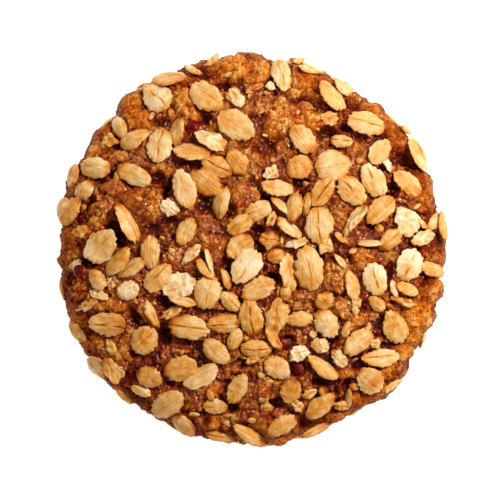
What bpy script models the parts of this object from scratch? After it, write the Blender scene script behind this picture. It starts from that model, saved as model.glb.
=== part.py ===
"""An oatmeal cookie: one thick disc of baked crumb with a domed, cobbled top, a lobed edge and a flat foot.

Whole rolled oats lie in its top, where they show, and more are spread round its side by a rule.
Everything is joined into one solid, because the oats are baked into the crumb.
Metres, +Z up. The origin is at the middle of the foot, on the surface that the cookie rests on.
"""

import math

import bpy
import numpy as np
from mathutils import Vector
from mathutils.bvhtree import BVHTree

# Driving sizes of the cookie, in metres
COOKIE_WIDTH = 0.096
COOKIE_HEIGHT = 0.0205
OATS_OVER_CROWN = 0.0018
CROWN_HEIGHT = COOKIE_HEIGHT - OATS_OVER_CROWN
WIDEST_HEIGHT = 0.0065
FOOT_SHARE = 0.93
SHOULDER_POWER = 3.2
FOOT_BLEND_HEIGHT = 0.004

# How finely the crumb is divided: squares across its top, and bands from there down to the foot
TOP_SQUARES = 33
SIDE_BANDS = 4
TOP_WALK = 0.72

# The frame that the places below are given in: seen from above, columns to the right and rows down
MIDDLE_COLUMN = 251.5
MIDDLE_ROW = 249.0
COLUMNS_ACROSS = 389.0
PIXEL = COOKIE_WIDTH / COLUMNS_ACROSS

# Column and row of each turn of the lobed edge
EDGE_SPOTS = (
    (446, 235), (440, 212), (437, 200), (427, 172), (416, 142), (397, 122), (377, 103), (360, 99),
    (343, 81), (315, 70), (297, 61), (275, 60), (262, 55), (243, 52), (220, 58), (190, 66), (160, 76),
    (136, 92), (118, 105), (104, 125), (91, 139), (81, 158), (70, 177), (61, 198), (57, 212), (62, 225),
    (58, 235), (61, 250), (57, 259), (63, 276), (60, 285), (66, 310), (70, 320), (84, 350), (100, 375),
    (108, 385), (122, 398), (143, 412), (162, 422), (188, 434), (212, 440), (230, 442), (258, 446),
    (283, 445), (293, 437), (315, 435), (330, 426), (352, 416), (370, 405), (385, 398), (400, 384),
    (406, 372), (418, 350), (433, 320), (443, 285), (443, 265),
)

# Lumps of bare crumb that stand out: column, row and how wide each is, in pixels
LUMPS_SEEN = (
    (290, 122, 46), (268, 124, 34), (258, 75, 26), (232, 68, 30), (180, 102, 24), (131, 103, 24),
    (100, 137, 22), (143, 121, 20), (140, 198, 30), (153, 208, 24), (117, 189, 26), (100, 212, 28),
    (241, 198, 32), (217, 250, 32), (336, 214, 18), (335, 273, 28), (300, 300, 24), (361, 258, 24),
    (118, 304, 26), (213, 388, 18), (214, 420, 26), (263, 392, 24), (329, 362, 14), (360, 400, 24),
    (280, 440, 22), (145, 411, 18), (410, 315, 44), (404, 352, 26), (80, 300, 24), (300, 96, 24),
)
SEEN_LUMP_SWELL = 0.0017
SEEN_LUMP_REACH_SHARE = 0.55

# Oats that lie on the top, lowest first: column, row, length and width in pixels, turn in degrees
OATS_SEEN = (
    (217, 168, 33, 20, -25), (238, 164, 29, 20, -55), (222, 203, 33, 16, 80), (179, 133, 30, 14, 75),
    (170, 78, 36, 13, 8), (121, 128, 23, 14, 111), (98, 169, 30, 21, -5), (136, 176, 36, 20, -28),
    (137, 141, 32, 16, 30), (159, 100, 31, 28, -50), (207, 99, 37, 27, -35), (236, 127, 41, 29, -35),
    (161, 147, 35, 25, 78), (211, 141, 33, 16, -25), (193, 154, 37, 16, -5), (208, 184, 36, 24, -35),
    (186, 190, 40, 23, -74), (187, 232, 29, 18, 62), (241, 225, 30, 18, 30), (70, 210, 32, 22, 50),
    (86, 191, 22, 17, 45), (128, 222, 45, 14, -62), (134, 268, 32, 14, 32), (122, 262, 34, 17, 50),
    (105, 246, 38, 29, 50), (152, 253, 34, 19, 92), (281, 77, 34, 19, -76), (330, 98, 38, 20, -54),
    (302, 141, 34, 22, -50), (365, 125, 38, 23, -15), (378, 153, 29, 20, 55), (416, 155, 36, 15, -65),
    (298, 169, 28, 24, 20), (332, 167, 37, 31, 10), (276, 190, 32, 16, -10), (257, 212, 30, 18, 25),
    (288, 229, 31, 11, -38), (294, 209, 32, 17, 80), (321, 193, 33, 20, 55), (350, 192, 34, 24, -45),
    (371, 181, 36, 24, -60), (405, 184, 34, 19, -38), (378, 211, 36, 22, 45), (353, 221, 36, 10, 52),
    (318, 226, 38, 28, 92), (421, 238, 25, 14, 25), (388, 240, 28, 18, 40), (405, 222, 32, 24, -60),
    (100, 279, 23, 16, -60), (130, 290, 23, 19, 20), (110, 323, 37, 24, -2), (78, 331, 25, 12, -55),
    (180, 286, 34, 26, 20), (160, 277, 34, 21, 45), (230, 300, 24, 16, -45), (208, 292, 34, 27, 75),
    (224, 322, 33, 19, 5), (190, 326, 43, 24, -8), (235, 338, 24, 14, 68), (217, 350, 33, 20, -40),
    (240, 247, 30, 24, 40), (258, 288, 36, 22, 25), (246, 266, 38, 27, 55), (288, 272, 38, 17, 97),
    (308, 268, 45, 28, 98), (251, 316, 39, 23, -80), (298, 318, 28, 15, 5), (276, 317, 38, 21, 78),
    (323, 300, 20, 17, 30), (325, 322, 32, 23, -60), (256, 347, 31, 18, 0), (372, 303, 22, 14, -40),
    (373, 279, 34, 24, -76), (431, 270, 26, 14, -25), (407, 265, 34, 26, 65), (393, 326, 34, 24, -68),
    (350, 284, 31, 14, -75), (356, 341, 34, 21, 38), (99, 365, 26, 15, -50), (113, 368, 29, 14, -65),
    (151, 375, 27, 21, -25), (146, 339, 31, 26, 45), (181, 367, 34, 25, 15), (203, 375, 39, 19, 30),
    (169, 402, 35, 25, 32), (185, 424, 27, 17, -42), (216, 404, 24, 15, -5), (238, 386, 33, 18, 62),
    (221, 436, 31, 10, -12), (249, 434, 38, 14, -35), (277, 366, 28, 22, -35), (298, 352, 20, 16, 20),
    (320, 367, 36, 14, -38), (290, 388, 25, 21, 80), (320, 404, 36, 18, 38), (281, 423, 33, 18, 30),
    (378, 357, 37, 17, 3), (369, 379, 30, 26, -45),
)

# An oat: its swell over the rim, how proud its rim lies, how deep it is sunk, and its sides
OAT_SWELL = 0.00042
OAT_RIM_LIFT = 0.0003
OAT_SINK = 0.0022
OAT_FACE_SHARE = 0.62
OAT_SIDES = 7
OAT_TRUE_WIDTH_SHARE = 0.55
STEEPEST_LEAN = 1.6

# Oats that lie over others are raised a step for each below them, where their middles are this near
STACK_STEP = 0.0005
MOST_STACKED = 3
STACK_NEARNESS = 0.2

# Oats round the side, which the view from above misses
SIDE_OATS = 28
SIDE_OAT_LENGTH = 0.0078
SIDE_OAT_WIDTH = 0.0052
SIDE_OAT_SUNK = 0.0003
SIDE_OAT_LOWEST = 0.0035
SIDE_OAT_HIGHEST = 0.0095
SIDE_OAT_SHIFT = 0.3
SIDE_OAT_SPIN = 0.7

# Crumb lumps spread evenly over the whole surface
SPREAD_LUMPS = 260
SPREAD_LUMP_REACH = 0.0046
SPREAD_LUMP_SWELL = 0.0011
MEAN_SWELL = 0.0009
REACH_RANGE = (0.7, 1.3)
SWELL_RANGE = (0.4, 1.3)
WALK_JITTER = 0.02
TURN_JITTER = 0.2
GOLDEN_TURN = math.pi * (3 - math.sqrt(5))
SEED = 7

CRUMB_COLOUR = (0.42, 0.17, 0.05, 1.0)
CRUMB_ROUGHNESS = 0.55


def remove_startup_objects():
    for thing in list(bpy.data.objects):
        bpy.data.objects.remove(thing)


def place_of(column, row):
    """The x and y, in metres, of a place in the frame seen from above."""
    return (column - MIDDLE_COLUMN) * PIXEL, (MIDDLE_ROW - row) * PIXEL


def edge_radius(turn):
    """How far the cookie's edge is from its middle, in each direction."""
    spots = np.array([place_of(column, row) for column, row in EDGE_SPOTS])
    turns = np.arctan2(spots[:, 1], spots[:, 0])
    radii = np.hypot(spots[:, 0], spots[:, 1])
    order = np.argsort(turns)
    return np.interp(turn, turns[order], radii[order], period=2 * math.pi)


def half_section():
    """The cookie's half section, as walk, share of the edge radius, height and the two parts of its normal.

    Above the widest line it is a superellipse, below it a quarter of an ellipse that runs into the foot.
    The walk is the way along it, 0 at the crown and 1 at the rim of the foot.
    """
    angle = np.linspace(0, math.pi / 2, 80)
    upper_share = np.sin(angle) ** (2 / SHOULDER_POWER)
    upper_height = WIDEST_HEIGHT + (CROWN_HEIGHT - WIDEST_HEIGHT) * np.cos(angle)
    lower_share = FOOT_SHARE + (1 - FOOT_SHARE) * np.cos(angle[1:])
    lower_height = WIDEST_HEIGHT * (1 - np.sin(angle[1:]))
    share = np.concatenate([upper_share, lower_share])
    height = np.concatenate([upper_height, lower_height])
    out = share * COOKIE_WIDTH / 2
    steps = np.hypot(np.diff(out), np.diff(height))
    walk = np.concatenate([[0], np.cumsum(steps)]) / steps.sum()
    along_out = np.gradient(out, walk)
    along_up = np.gradient(height, walk)
    size = np.hypot(along_out, along_up)
    return walk, share, height, -along_up / size, along_out / size


def plain_surface(walk, turn):
    """Points and normals of the cookie's plain form, without lumps, at each walk and turn."""
    walks, shares, heights, normals_out, normals_up = half_section()
    radius = np.interp(walk, walks, shares) * edge_radius(turn)
    height = np.interp(walk, walks, heights)
    out = np.interp(walk, walks, normals_out)
    up = np.interp(walk, walks, normals_up)
    points = np.stack([radius * np.cos(turn), radius * np.sin(turn), height], axis=-1)
    normals = np.stack([out * np.cos(turn), out * np.sin(turn), up], axis=-1)
    return points, normals


def plain_height(x, y):
    """Height of the plain form's top over one place."""
    walks, shares, heights, _, _ = half_section()
    share = np.hypot(x, y) / edge_radius(np.arctan2(y, x))
    top = heights >= WIDEST_HEIGHT
    return float(np.interp(share, shares[top], heights[top]))


def plain_lean(x, y):
    """How steeply the plain form's top rises there, along x and along y."""
    step = PIXEL * 2
    rise_x = (plain_height(x + step, y) - plain_height(x - step, y)) / (2 * step)
    rise_y = (plain_height(x, y + step) - plain_height(x, y - step)) / (2 * step)
    lean = np.array([rise_x, rise_y])
    return lean * min(1.0, STEEPEST_LEAN / max(np.linalg.norm(lean), 1e-6))


def crumb_lumps():
    """Middle, reach and swell of every lump: those seen, then more in a golden spiral with a seeded jitter."""
    rng = np.random.default_rng(SEED)
    count = np.arange(SPREAD_LUMPS)
    walk = np.sqrt((count + 0.5) / SPREAD_LUMPS) + rng.uniform(-WALK_JITTER, WALK_JITTER, SPREAD_LUMPS)
    turn = count * GOLDEN_TURN + rng.uniform(-TURN_JITTER, TURN_JITTER, SPREAD_LUMPS)
    middles, _ = plain_surface(np.clip(walk, 0, 1), turn)
    reaches = SPREAD_LUMP_REACH * rng.uniform(*REACH_RANGE, SPREAD_LUMPS)
    swells = SPREAD_LUMP_SWELL * rng.uniform(*SWELL_RANGE, SPREAD_LUMPS)
    places = [place_of(column, row) for column, row, _ in LUMPS_SEEN]
    seen = np.array([(x, y, plain_height(x, y)) for x, y in places])
    seen_reaches = np.array([width for _, _, width in LUMPS_SEEN]) * PIXEL * SEEN_LUMP_REACH_SHARE
    seen_swells = np.full(len(LUMPS_SEEN), SEEN_LUMP_SWELL)
    return (
        np.concatenate([seen, middles]),
        np.concatenate([seen_reaches, reaches]),
        np.concatenate([seen_swells, swells]),
    )


def swell_of(points):
    """How far the crumb stands over its plain form: the tallest of the round caps there, less their mean.

    It fades out towards the foot, which stays flat.
    """
    middles, reaches, swells = crumb_lumps()
    away = np.linalg.norm(points[:, None] - middles[None], axis=2)
    caps = swells * np.sqrt(np.clip(1 - (away / reaches) ** 2, 0, 1))
    fade = np.clip(points[:, 2] / FOOT_BLEND_HEIGHT, 0, 1)
    return (caps.max(axis=1) - MEAN_SWELL) * fade**2 * (3 - 2 * fade)


def square_rings():
    """Walk and turn of every point: a square grid bent into a disc for the top, then rings down to the foot.

    Also the grid's rim, in order round the disc, as indices into its points.
    """
    line = np.linspace(-1, 1, TOP_SQUARES + 1)
    u, v = np.meshgrid(line, line)
    ring = np.maximum(abs(u), abs(v))
    wide = abs(u) >= abs(v)
    long_side = np.where(wide, u, v)
    short_side = np.where(wide, v, u)
    part = np.divide(short_side, long_side, out=np.zeros_like(u), where=long_side != 0)
    turn = np.where(wide, part * math.pi / 4, math.pi / 2 - part * math.pi / 4)
    turn = np.where(long_side < 0, turn + math.pi, turn)
    index = np.arange(u.size).reshape(u.shape)
    rim = np.concatenate([index[0, :-1], index[:-1, -1], index[-1, :0:-1], index[:0:-1, 0]])
    rim_turn = turn.ravel()[rim]
    side_walk = np.linspace(TOP_WALK, 1, SIDE_BANDS + 1)[1:]
    walk = np.concatenate([(ring * TOP_WALK).ravel(), np.repeat(side_walk, len(rim))])
    turn = np.concatenate([turn.ravel(), np.tile(rim_turn, SIDE_BANDS)])
    return walk, turn, index, rim


def crumb_body():
    """The crumb: the plain form pushed out along its normals by its lumps, closed by a flat foot."""
    walk, turn, index, rim = square_rings()
    points, normals = plain_surface(walk, turn)
    points = points + normals * swell_of(points)[:, None]
    corners = [index[:-1, :-1], index[:-1, 1:], index[1:, 1:], index[1:, :-1]]
    faces = np.stack(corners, axis=-1).reshape(-1, 4).tolist()
    rings = [rim] + [index.size + band * len(rim) + np.arange(len(rim)) for band in range(SIDE_BANDS)]
    for upper, lower in zip(rings, rings[1:]):
        faces += np.stack([upper, lower, np.roll(lower, -1), np.roll(upper, -1)], axis=-1).tolist()
    faces.append(rings[-1][::-1].tolist())
    return new_object("cookie", points, faces)


def new_object(name, points, faces):
    mesh = bpy.data.meshes.new(name)
    mesh.from_pydata([tuple(point) for point in points], [], faces)
    mesh.update()
    thing = bpy.data.objects.new(name, mesh)
    bpy.context.scene.collection.objects.link(thing)
    return thing


def oat_solid(middle, long_way, cross_way, normal, sink):
    """One rolled oat: a rim of a few sides, a smaller flat face over it, and a point sunk in the crumb."""
    points = []
    for share, lift in ((1.0, 0.0), (OAT_FACE_SHARE, OAT_SWELL)):
        for side in range(OAT_SIDES):
            angle = 2 * math.pi * (side + 0.5) / OAT_SIDES
            across = long_way * math.cos(angle) + cross_way * math.sin(angle)
            points.append(middle + across * share + normal * lift)
    points.append(middle - normal * sink)
    faces = [list(range(OAT_SIDES, 2 * OAT_SIDES))]
    for side in range(OAT_SIDES):
        following = (side + 1) % OAT_SIDES
        faces.append([side, following, OAT_SIDES + following, OAT_SIDES + side])
        faces.append([following, side, 2 * OAT_SIDES])
    return new_object("oat", points, faces)


def lean_of_oat(x, y, length, width, turn):
    """The slope that an oat lies on: the plain top's own, and more for one that stands on its edge.

    A narrow oat is a wide one that leans, with its face turned up the picture.
    """
    lean = plain_lean(x, y)
    cross = np.array([-math.sin(turn), math.cos(turn)])
    if cross[1] < 0:
        cross = -cross
    true_width = max(width, OAT_TRUE_WIDTH_SHARE * length)
    stand = math.sqrt((true_width / width) ** 2 - 1)
    return lean - cross * min(stand, STEEPEST_LEAN)


def stack_lifts():
    """How much each oat is raised because it lies over earlier ones."""
    lifts = []
    for number, (column, row, length, width, _) in enumerate(OATS_SEEN):
        lift = 0.0
        for earlier in range(number):
            other = OATS_SEEN[earlier]
            apart = math.hypot(column - other[0], row - other[1])
            if apart < STACK_NEARNESS * (length + width + other[2] + other[3]):
                lift = max(lift, lifts[earlier] + STACK_STEP)
        lifts.append(min(lift, MOST_STACKED * STACK_STEP))
    return lifts


def top_oats(crumb_tree):
    """The oats seen from above, each laid on the crumb so that its outline is the one seen."""
    oats = []
    for (column, row, length, width, degrees), lift in zip(OATS_SEEN, stack_lifts()):
        x, y = place_of(column, row)
        turn = math.radians(degrees)
        lean_x, lean_y = lean_of_oat(x, y, length, width, turn)
        normal = Vector((-lean_x, -lean_y, 1)).normalized()
        ground = crumb_tree.ray_cast(Vector((x, y, 2 * COOKIE_HEIGHT)), Vector((0, 0, -1)))[0]
        middle = ground + normal * (OAT_RIM_LIFT + lift)
        half_long = length * PIXEL / 2
        half_cross = width * PIXEL / 2
        long_x, long_y = half_long * math.cos(turn), half_long * math.sin(turn)
        cross_x, cross_y = -half_cross * math.sin(turn), half_cross * math.cos(turn)
        long_way = Vector((long_x, long_y, lean_x * long_x + lean_y * long_y))
        cross_way = Vector((cross_x, cross_y, lean_x * cross_x + lean_y * cross_y))
        oats.append(oat_solid(middle, long_way, cross_way, normal, OAT_SINK + lift))
    return oats


def side_oats(crumb_tree):
    """Oats pressed flat into the side, evenly spread round it at seeded heights and turns."""
    rng = np.random.default_rng(SEED + 1)
    oats = []
    for number in range(SIDE_OATS):
        turn = 2 * math.pi * (number + rng.uniform(-SIDE_OAT_SHIFT, SIDE_OAT_SHIFT)) / SIDE_OATS
        height = rng.uniform(SIDE_OAT_LOWEST, SIDE_OAT_HIGHEST)
        outward = Vector((math.cos(turn), math.sin(turn), 0))
        start = Vector((0, 0, height)) + outward * COOKIE_WIDTH
        ground = crumb_tree.ray_cast(start, -outward)[0]
        normal = (outward + Vector((0, 0, (height - WIDEST_HEIGHT) / WIDEST_HEIGHT))).normalized()
        level = Vector((-math.sin(turn), math.cos(turn), 0))
        rising = normal.cross(level)
        spin = rng.uniform(-SIDE_OAT_SPIN, SIDE_OAT_SPIN)
        long_way = (level * math.cos(spin) + rising * math.sin(spin)) * SIDE_OAT_LENGTH / 2
        cross_way = normal.cross(long_way).normalized() * SIDE_OAT_WIDTH / 2
        middle = ground - normal * SIDE_OAT_SUNK
        oats.append(oat_solid(middle, long_way, cross_way, normal, OAT_SINK))
    return oats


def joined(cookie, oats):
    """The crumb with all the oats, as one solid."""
    group = bpy.data.collections.new("oats to join")
    for oat in oats:
        bpy.context.scene.collection.objects.unlink(oat)
        group.objects.link(oat)
    join = cookie.modifiers.new("oats", "BOOLEAN")
    join.operation = "UNION"
    join.operand_type = "COLLECTION"
    join.collection = group
    join.solver = "EXACT"
    graph = bpy.context.evaluated_depsgraph_get()
    solid = bpy.data.meshes.new_from_object(cookie.evaluated_get(graph))
    cookie.modifiers.clear()
    cookie.data = solid
    for oat in oats:
        bpy.data.objects.remove(oat)
    bpy.data.collections.remove(group)


def settle(cookie):
    """Puts the origin at the middle of the foot, under the middle of the box."""
    places = np.array([vertex.co for vertex in cookie.data.vertices])
    low, high = places.min(axis=0), places.max(axis=0)
    shift = np.array([(low[0] + high[0]) / 2, (low[1] + high[1]) / 2, low[2]])
    cookie.data.vertices.foreach_set("co", (places - shift).astype(np.float32).ravel())
    cookie.data.update()


def crumb_material():
    material = bpy.data.materials.new("baked crumb with oats")
    material.use_nodes = True
    surface = material.node_tree.nodes["Principled BSDF"]
    surface.inputs["Base Color"].default_value = CRUMB_COLOUR
    surface.inputs["Roughness"].default_value = CRUMB_ROUGHNESS
    surface.inputs["Metallic"].default_value = 0.0
    return material


def build_cookie():
    remove_startup_objects()
    cookie = crumb_body()
    tree = BVHTree.FromObject(cookie, bpy.context.evaluated_depsgraph_get())
    joined(cookie, top_oats(tree) + side_oats(tree))
    settle(cookie)
    cookie.data.materials.clear()
    cookie.data.materials.append(crumb_material())


build_cookie()
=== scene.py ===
"""An oatmeal cookie, seen from straight above: baked crumb, whole and broken rolled oats, dried fruit."""

import math

import bpy
import numpy as np
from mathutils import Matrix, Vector


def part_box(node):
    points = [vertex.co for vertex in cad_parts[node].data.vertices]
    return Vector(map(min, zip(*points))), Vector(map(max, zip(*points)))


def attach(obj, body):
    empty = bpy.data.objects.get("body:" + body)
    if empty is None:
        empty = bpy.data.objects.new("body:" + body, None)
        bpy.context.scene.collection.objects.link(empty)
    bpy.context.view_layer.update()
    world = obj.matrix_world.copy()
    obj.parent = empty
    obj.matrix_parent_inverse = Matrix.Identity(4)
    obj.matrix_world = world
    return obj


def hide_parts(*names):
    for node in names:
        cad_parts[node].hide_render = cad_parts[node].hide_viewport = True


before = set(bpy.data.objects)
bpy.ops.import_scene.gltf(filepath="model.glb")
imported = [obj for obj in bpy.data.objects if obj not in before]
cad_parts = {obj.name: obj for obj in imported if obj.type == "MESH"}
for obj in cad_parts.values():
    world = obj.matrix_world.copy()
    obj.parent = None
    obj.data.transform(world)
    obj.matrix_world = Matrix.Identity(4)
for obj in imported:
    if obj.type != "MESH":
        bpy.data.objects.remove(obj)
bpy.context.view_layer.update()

# The view: a long lens straight above the cookie, so that its crown is hardly enlarged.
# Places on the top are named by their column and row in a 500 by 500 picture of it from there.
LOW, HIGH = (np.array(corner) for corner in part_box("cookie"))
COOKIE_WIDTH = HIGH[0] - LOW[0]
COLUMNS_ACROSS = 390.0
PIXEL = COOKIE_WIDTH / COLUMNS_ACROSS
MIDDLE_COLUMN = 251.5
MIDDLE_ROW = 249.0
PICTURE_SIDE = 500
LENS_MM = 200.0
SENSOR_MM = 36.0
WIDEST_HEIGHT = 0.0065


def place_of(column, row):
    """The x and y, in metres, of a column and row of the picture."""
    return (column - MIDDLE_COLUMN) * PIXEL, (MIDDLE_ROW - row) * PIXEL


camera = bpy.data.objects.new("camera", bpy.data.cameras.new("camera"))
camera.data.lens = LENS_MM
camera.data.sensor_width = SENSOR_MM
camera_x, camera_y = place_of(PICTURE_SIDE / 2, PICTURE_SIDE / 2)
camera_height = WIDEST_HEIGHT + PICTURE_SIDE * PIXEL * LENS_MM / SENSOR_MM
camera.location = (camera_x, camera_y, camera_height)
bpy.context.scene.collection.objects.link(camera)
bpy.context.scene.camera = camera

# The crumb: oat dough with butter and brown sugar, dropped on a flat tray and baked until it sets.
# It spreads to a thick disc with a lobed edge, its top cracks into cobbles, and sugar glazes it.
# One closed shell: the plain form pushed out by its lumps, and pressed down under each oat.
ROOM_OVER_CROWN = 0.0016
CROWN_HEIGHT = HIGH[2] - ROOM_OVER_CROWN
FOOT_SHARE = 0.93
SECTION_STEPS = 80
SHOULDER_POWER = 3.2
FOOT_BLEND_HEIGHT = 0.004
TOP_WALK = 0.74
TOP_SQUARES = 256
SIDE_BANDS = 26
FOOT_BANDS = 6

# Column and row of each turn of the lobed edge
EDGE_SPOTS = (
    (446, 235), (440, 212), (437, 200), (427, 172), (416, 142), (397, 122), (377, 103), (360, 99),
    (343, 81), (315, 70), (297, 61), (275, 60), (262, 55), (243, 52), (220, 58), (190, 66), (160, 76),
    (136, 92), (118, 105), (104, 125), (91, 139), (81, 158), (70, 177), (61, 198), (57, 212), (62, 225),
    (58, 235), (59, 247), (57, 258), (60, 270), (60, 285), (66, 310), (70, 320), (84, 350), (100, 375),
    (108, 385), (122, 398), (143, 412), (162, 422), (188, 434), (212, 440), (230, 442), (258, 446),
    (283, 445), (293, 437), (315, 435), (330, 426), (352, 416), (370, 405), (385, 398), (400, 384),
    (406, 372), (418, 350), (433, 320), (443, 285), (443, 265),
)

# Lumps of bare crumb: column, row, length and width in pixels, turn in degrees, then how golden and how
# smooth, each from 0 to 10
LUMPS_SEEN = (
    (232, 68, 28, 27, 0, 9, 4), (258, 72, 26, 24, 0, 7, 1), (131, 103, 26, 20, 20, 9, 7),
    (143, 121, 24, 18, -10, 9, 8), (100, 137, 26, 16, 35, 8, 8), (183, 100, 24, 24, 0, 8, 1),
    (193, 115, 22, 12, -30, 10, 0), (95, 152, 28, 14, 20, 7, 4), (118, 157, 22, 12, 0, 8, 1),
    (140, 152, 22, 14, 0, 2, 2), (138, 195, 28, 13, 66, 10, 10), (156, 205, 28, 18, 80, 10, 1),
    (117, 189, 34, 18, -20, 6, 6), (165, 172, 24, 14, -15, 7, 2), (107, 205, 28, 20, 0, 6, 1),
    (97, 222, 32, 15, 20, 6, 2), (241, 198, 34, 24, 90, 5, 8), (217, 244, 28, 16, 0, 7, 7),
    (68, 240, 26, 18, 80, 3, 3), (200, 222, 24, 18, 0, 2, 1), (295, 118, 56, 24, -12, 9, 1),
    (275, 130, 26, 18, 10, 8, 3), (300, 85, 22, 22, 0, 5, 1), (318, 76, 36, 12, -14, 8, 6),
    (375, 111, 36, 16, -25, 6, 3), (398, 136, 26, 14, -45, 6, 3), (355, 147, 22, 15, 0, 5, 2),
    (343, 221, 18, 20, 0, 4, 4), (414, 202, 22, 16, -30, 3, 2), (430, 198, 28, 14, -75, 4, 3),
    (248, 165, 26, 22, 0, 3, 1), (262, 105, 24, 22, 0, 3, 1), (75, 256, 22, 18, 0, 4, 3),
    (80, 290, 28, 20, 0, 2, 1), (113, 304, 32, 16, 0, 9, 3), (150, 315, 34, 14, -60, 9, 4),
    (98, 342, 32, 16, -10, 5, 3), (125, 357, 26, 14, 80, 5, 3), (130, 333, 16, 14, 0, 8, 3),
    (213, 388, 20, 16, 0, 8, 4), (190, 404, 20, 12, 0, 3, 1), (214, 421, 28, 15, 0, 9, 3),
    (150, 410, 26, 10, -25, 4, 4), (335, 273, 30, 26, 0, 6, 1), (298, 303, 26, 12, 0, 3, 1),
    (345, 308, 26, 20, 0, 7, 1), (361, 258, 24, 20, 0, 8, 2), (388, 256, 18, 13, 0, 5, 2),
    (405, 305, 50, 14, -12, 8, 2), (416, 322, 40, 30, 60, 10, 1), (436, 284, 28, 14, 88, 8, 5),
    (402, 352, 28, 16, 0, 8, 1), (330, 372, 22, 15, 0, 8, 3), (345, 374, 14, 12, 0, 9, 7),
    (262, 392, 28, 24, 0, 3, 0), (356, 402, 28, 18, 30, 6, 8), (280, 440, 32, 12, 0, 8, 4),
    (345, 417, 32, 14, 25, 4, 3), (388, 370, 22, 16, 50, 5, 2), (262, 424, 22, 15, 0, 5, 1),
    (232, 372, 20, 14, 0, 3, 1), (180, 345, 24, 12, 0, 5, 3), (426, 345, 28, 20, 70, 10, 1),
    (410, 372, 26, 14, 50, 9, 4), (434, 305, 26, 14, 80, 9, 2), (355, 320, 24, 12, 30, 9, 1),
)
GOLDEN, SMOOTH = 5, 6  # their places in a lump's row
SEEN_LUMP_STEEPNESS = 0.55
SEEN_LUMP_SOFTNESS = 0.65
SEEN_LUMP_HEIGHTS = (WIDEST_HEIGHT, WIDEST_HEIGHT * 1.6)
LUMP_SPREAD = 1.2
LUMP_COLOUR_EDGE = (0.8, 1.2)

# Deep gaps between the lumps, where the dough tore as it rose: the same first five numbers
GAPS_SEEN = (
    (224, 88, 18, 10, 0), (206, 120, 22, 11, -35), (161, 123, 26, 9, 0), (117, 141, 9, 9, 0),
    (158, 178, 14, 12, 0), (166, 192, 24, 10, 85), (188, 165, 30, 6, 0), (112, 175, 14, 9, 0),
    (92, 205, 20, 11, 80), (88, 218, 20, 9, 35), (117, 233, 28, 12, -68), (204, 205, 20, 16, 90),
    (230, 212, 15, 11, 60), (172, 223, 26, 14, 0), (152, 229, 14, 10, 0), (101, 181, 16, 8, 0),
    (186, 86, 22, 7, 15), (308, 105, 36, 15, -12), (329, 133, 26, 10, -8), (357, 138, 24, 8, -10),
    (273, 85, 22, 8, -75), (262, 147, 22, 14, 0), (300, 184, 16, 12, 0), (404, 160, 26, 11, -62),
    (346, 129, 13, 9, 0), (389, 192, 18, 14, 60), (257, 234, 20, 14, 80), (346, 212, 14, 9, 40),
    (265, 200, 14, 8, 0), (88, 262, 20, 12, 0), (165, 334, 28, 16, 80), (166, 300, 22, 12, -10),
    (138, 318, 22, 10, -45), (190, 344, 40, 10, 0), (227, 266, 24, 11, -75), (213, 311, 24, 7, 0),
    (241, 363, 20, 10, 0), (136, 352, 14, 9, 50), (232, 407, 14, 10, 0), (206, 421, 14, 8, 50),
    (376, 318, 34, 15, 72), (270, 281, 20, 14, 40), (296, 366, 24, 16, 80), (285, 342, 18, 13, 50),
    (357, 357, 22, 13, 75), (331, 337, 16, 10, 30), (276, 403, 22, 12, 0), (346, 384, 16, 10, 80),
    (388, 272, 20, 9, 85), (361, 306, 16, 10, 60), (347, 258, 14, 8, -50), (326, 381, 32, 8, 0),
    (384, 345, 14, 8, 0), (260, 250, 14, 10, 60), (318, 255, 10, 10, 0), (245, 145, 18, 10, 40),
    (372, 225, 12, 8, 40), (395, 300, 14, 6, 20),
)
GAP_DEPTH_SHARE = 1.7
DEEPEST_GAP = 0.0027
GAP_EDGE = (0.3, 1.4)
GAP_HEIGHTS = (WIDEST_HEIGHT, WIDEST_HEIGHT * 1.5)

# Unnamed lumps all over the plain form
SPREAD_LUMPS = 260
SPREAD_LUMP_REACH = 0.0046
SPREAD_LUMP_REACH_SHARES = (0.7, 1.3)
SPREAD_LUMP_SWELL = 0.0009
SPREAD_LUMP_SWELL_SHARES = (0.4, 1.3)
WALK_JITTER = 0.02
TURN_JITTER = 0.2
MEAN_SWELL = 0.0008
GOLDEN_TURN = math.pi * (3 - math.sqrt(5))
SEED = 7

# Cobbles at three sizes, the cuts between and across them, and the grain on them. Sizes, heights and depths
# are in metres, and a range is where a noise turns into a mark.
BALL_STEEPNESS = 1.3
BIG_COBBLE, BIG_COBBLE_HEIGHT = 0.0040, 0.0005
MID_COBBLE, MID_COBBLE_HEIGHT = 0.0019, 0.0005
FINE_COBBLE, FINE_COBBLE_HEIGHT, FINE_STEEPNESS = 0.00095, 0.00038, 1.4
GRAIN_SIZE, GRAIN_HEIGHT = 0.0006, 0.00022
SWAY_SIZE, SWAY = 0.0022, 0.0010
CRACK_WIDTH, CRACK_DEPTH, SPLIT_DEPTH = 0.30, 0.0007, 0.0004
CRACKED_PATCH, CRACKED_RANGE = 0.009, (-0.5, 0.5)
PIT_SIZE, PIT_RANGE, PIT_DEPTH = 0.0040, (0.2, 0.65), 0.0010
FOLD_SIZE, FOLD_WIDTH, FOLD_DEPTH = 0.0030, 0.22, 0.0003
SMOOTH_COBBLE_LOSS, SMOOTH_GRAIN_LOSS = 0.4, 0.7
MEAN_RELIEF = 0.0003

# The side is calmer than the top, with low lobes of its own, and the foot is flat with shallow pits
SIDE_CALM = 0.5
CALM_WALK = (0.72, 0.84)
LOBE_SIZE = 0.0046
LOBE_FLATNESS = 0.6
LOBE_RISE = 0.0011
LOBE_MEAN = 0.6
FOOT_REACH = 0.95
INNER_FOOT_WALK = (1.02, 1.1)
FOOT_PIT_SIZE, FOOT_PIT_RANGE, FOOT_PIT_DEPTH = 0.0022, (0.1, 0.8), 0.00035
LUMP_SHADE_SHARE = 0.4


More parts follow.
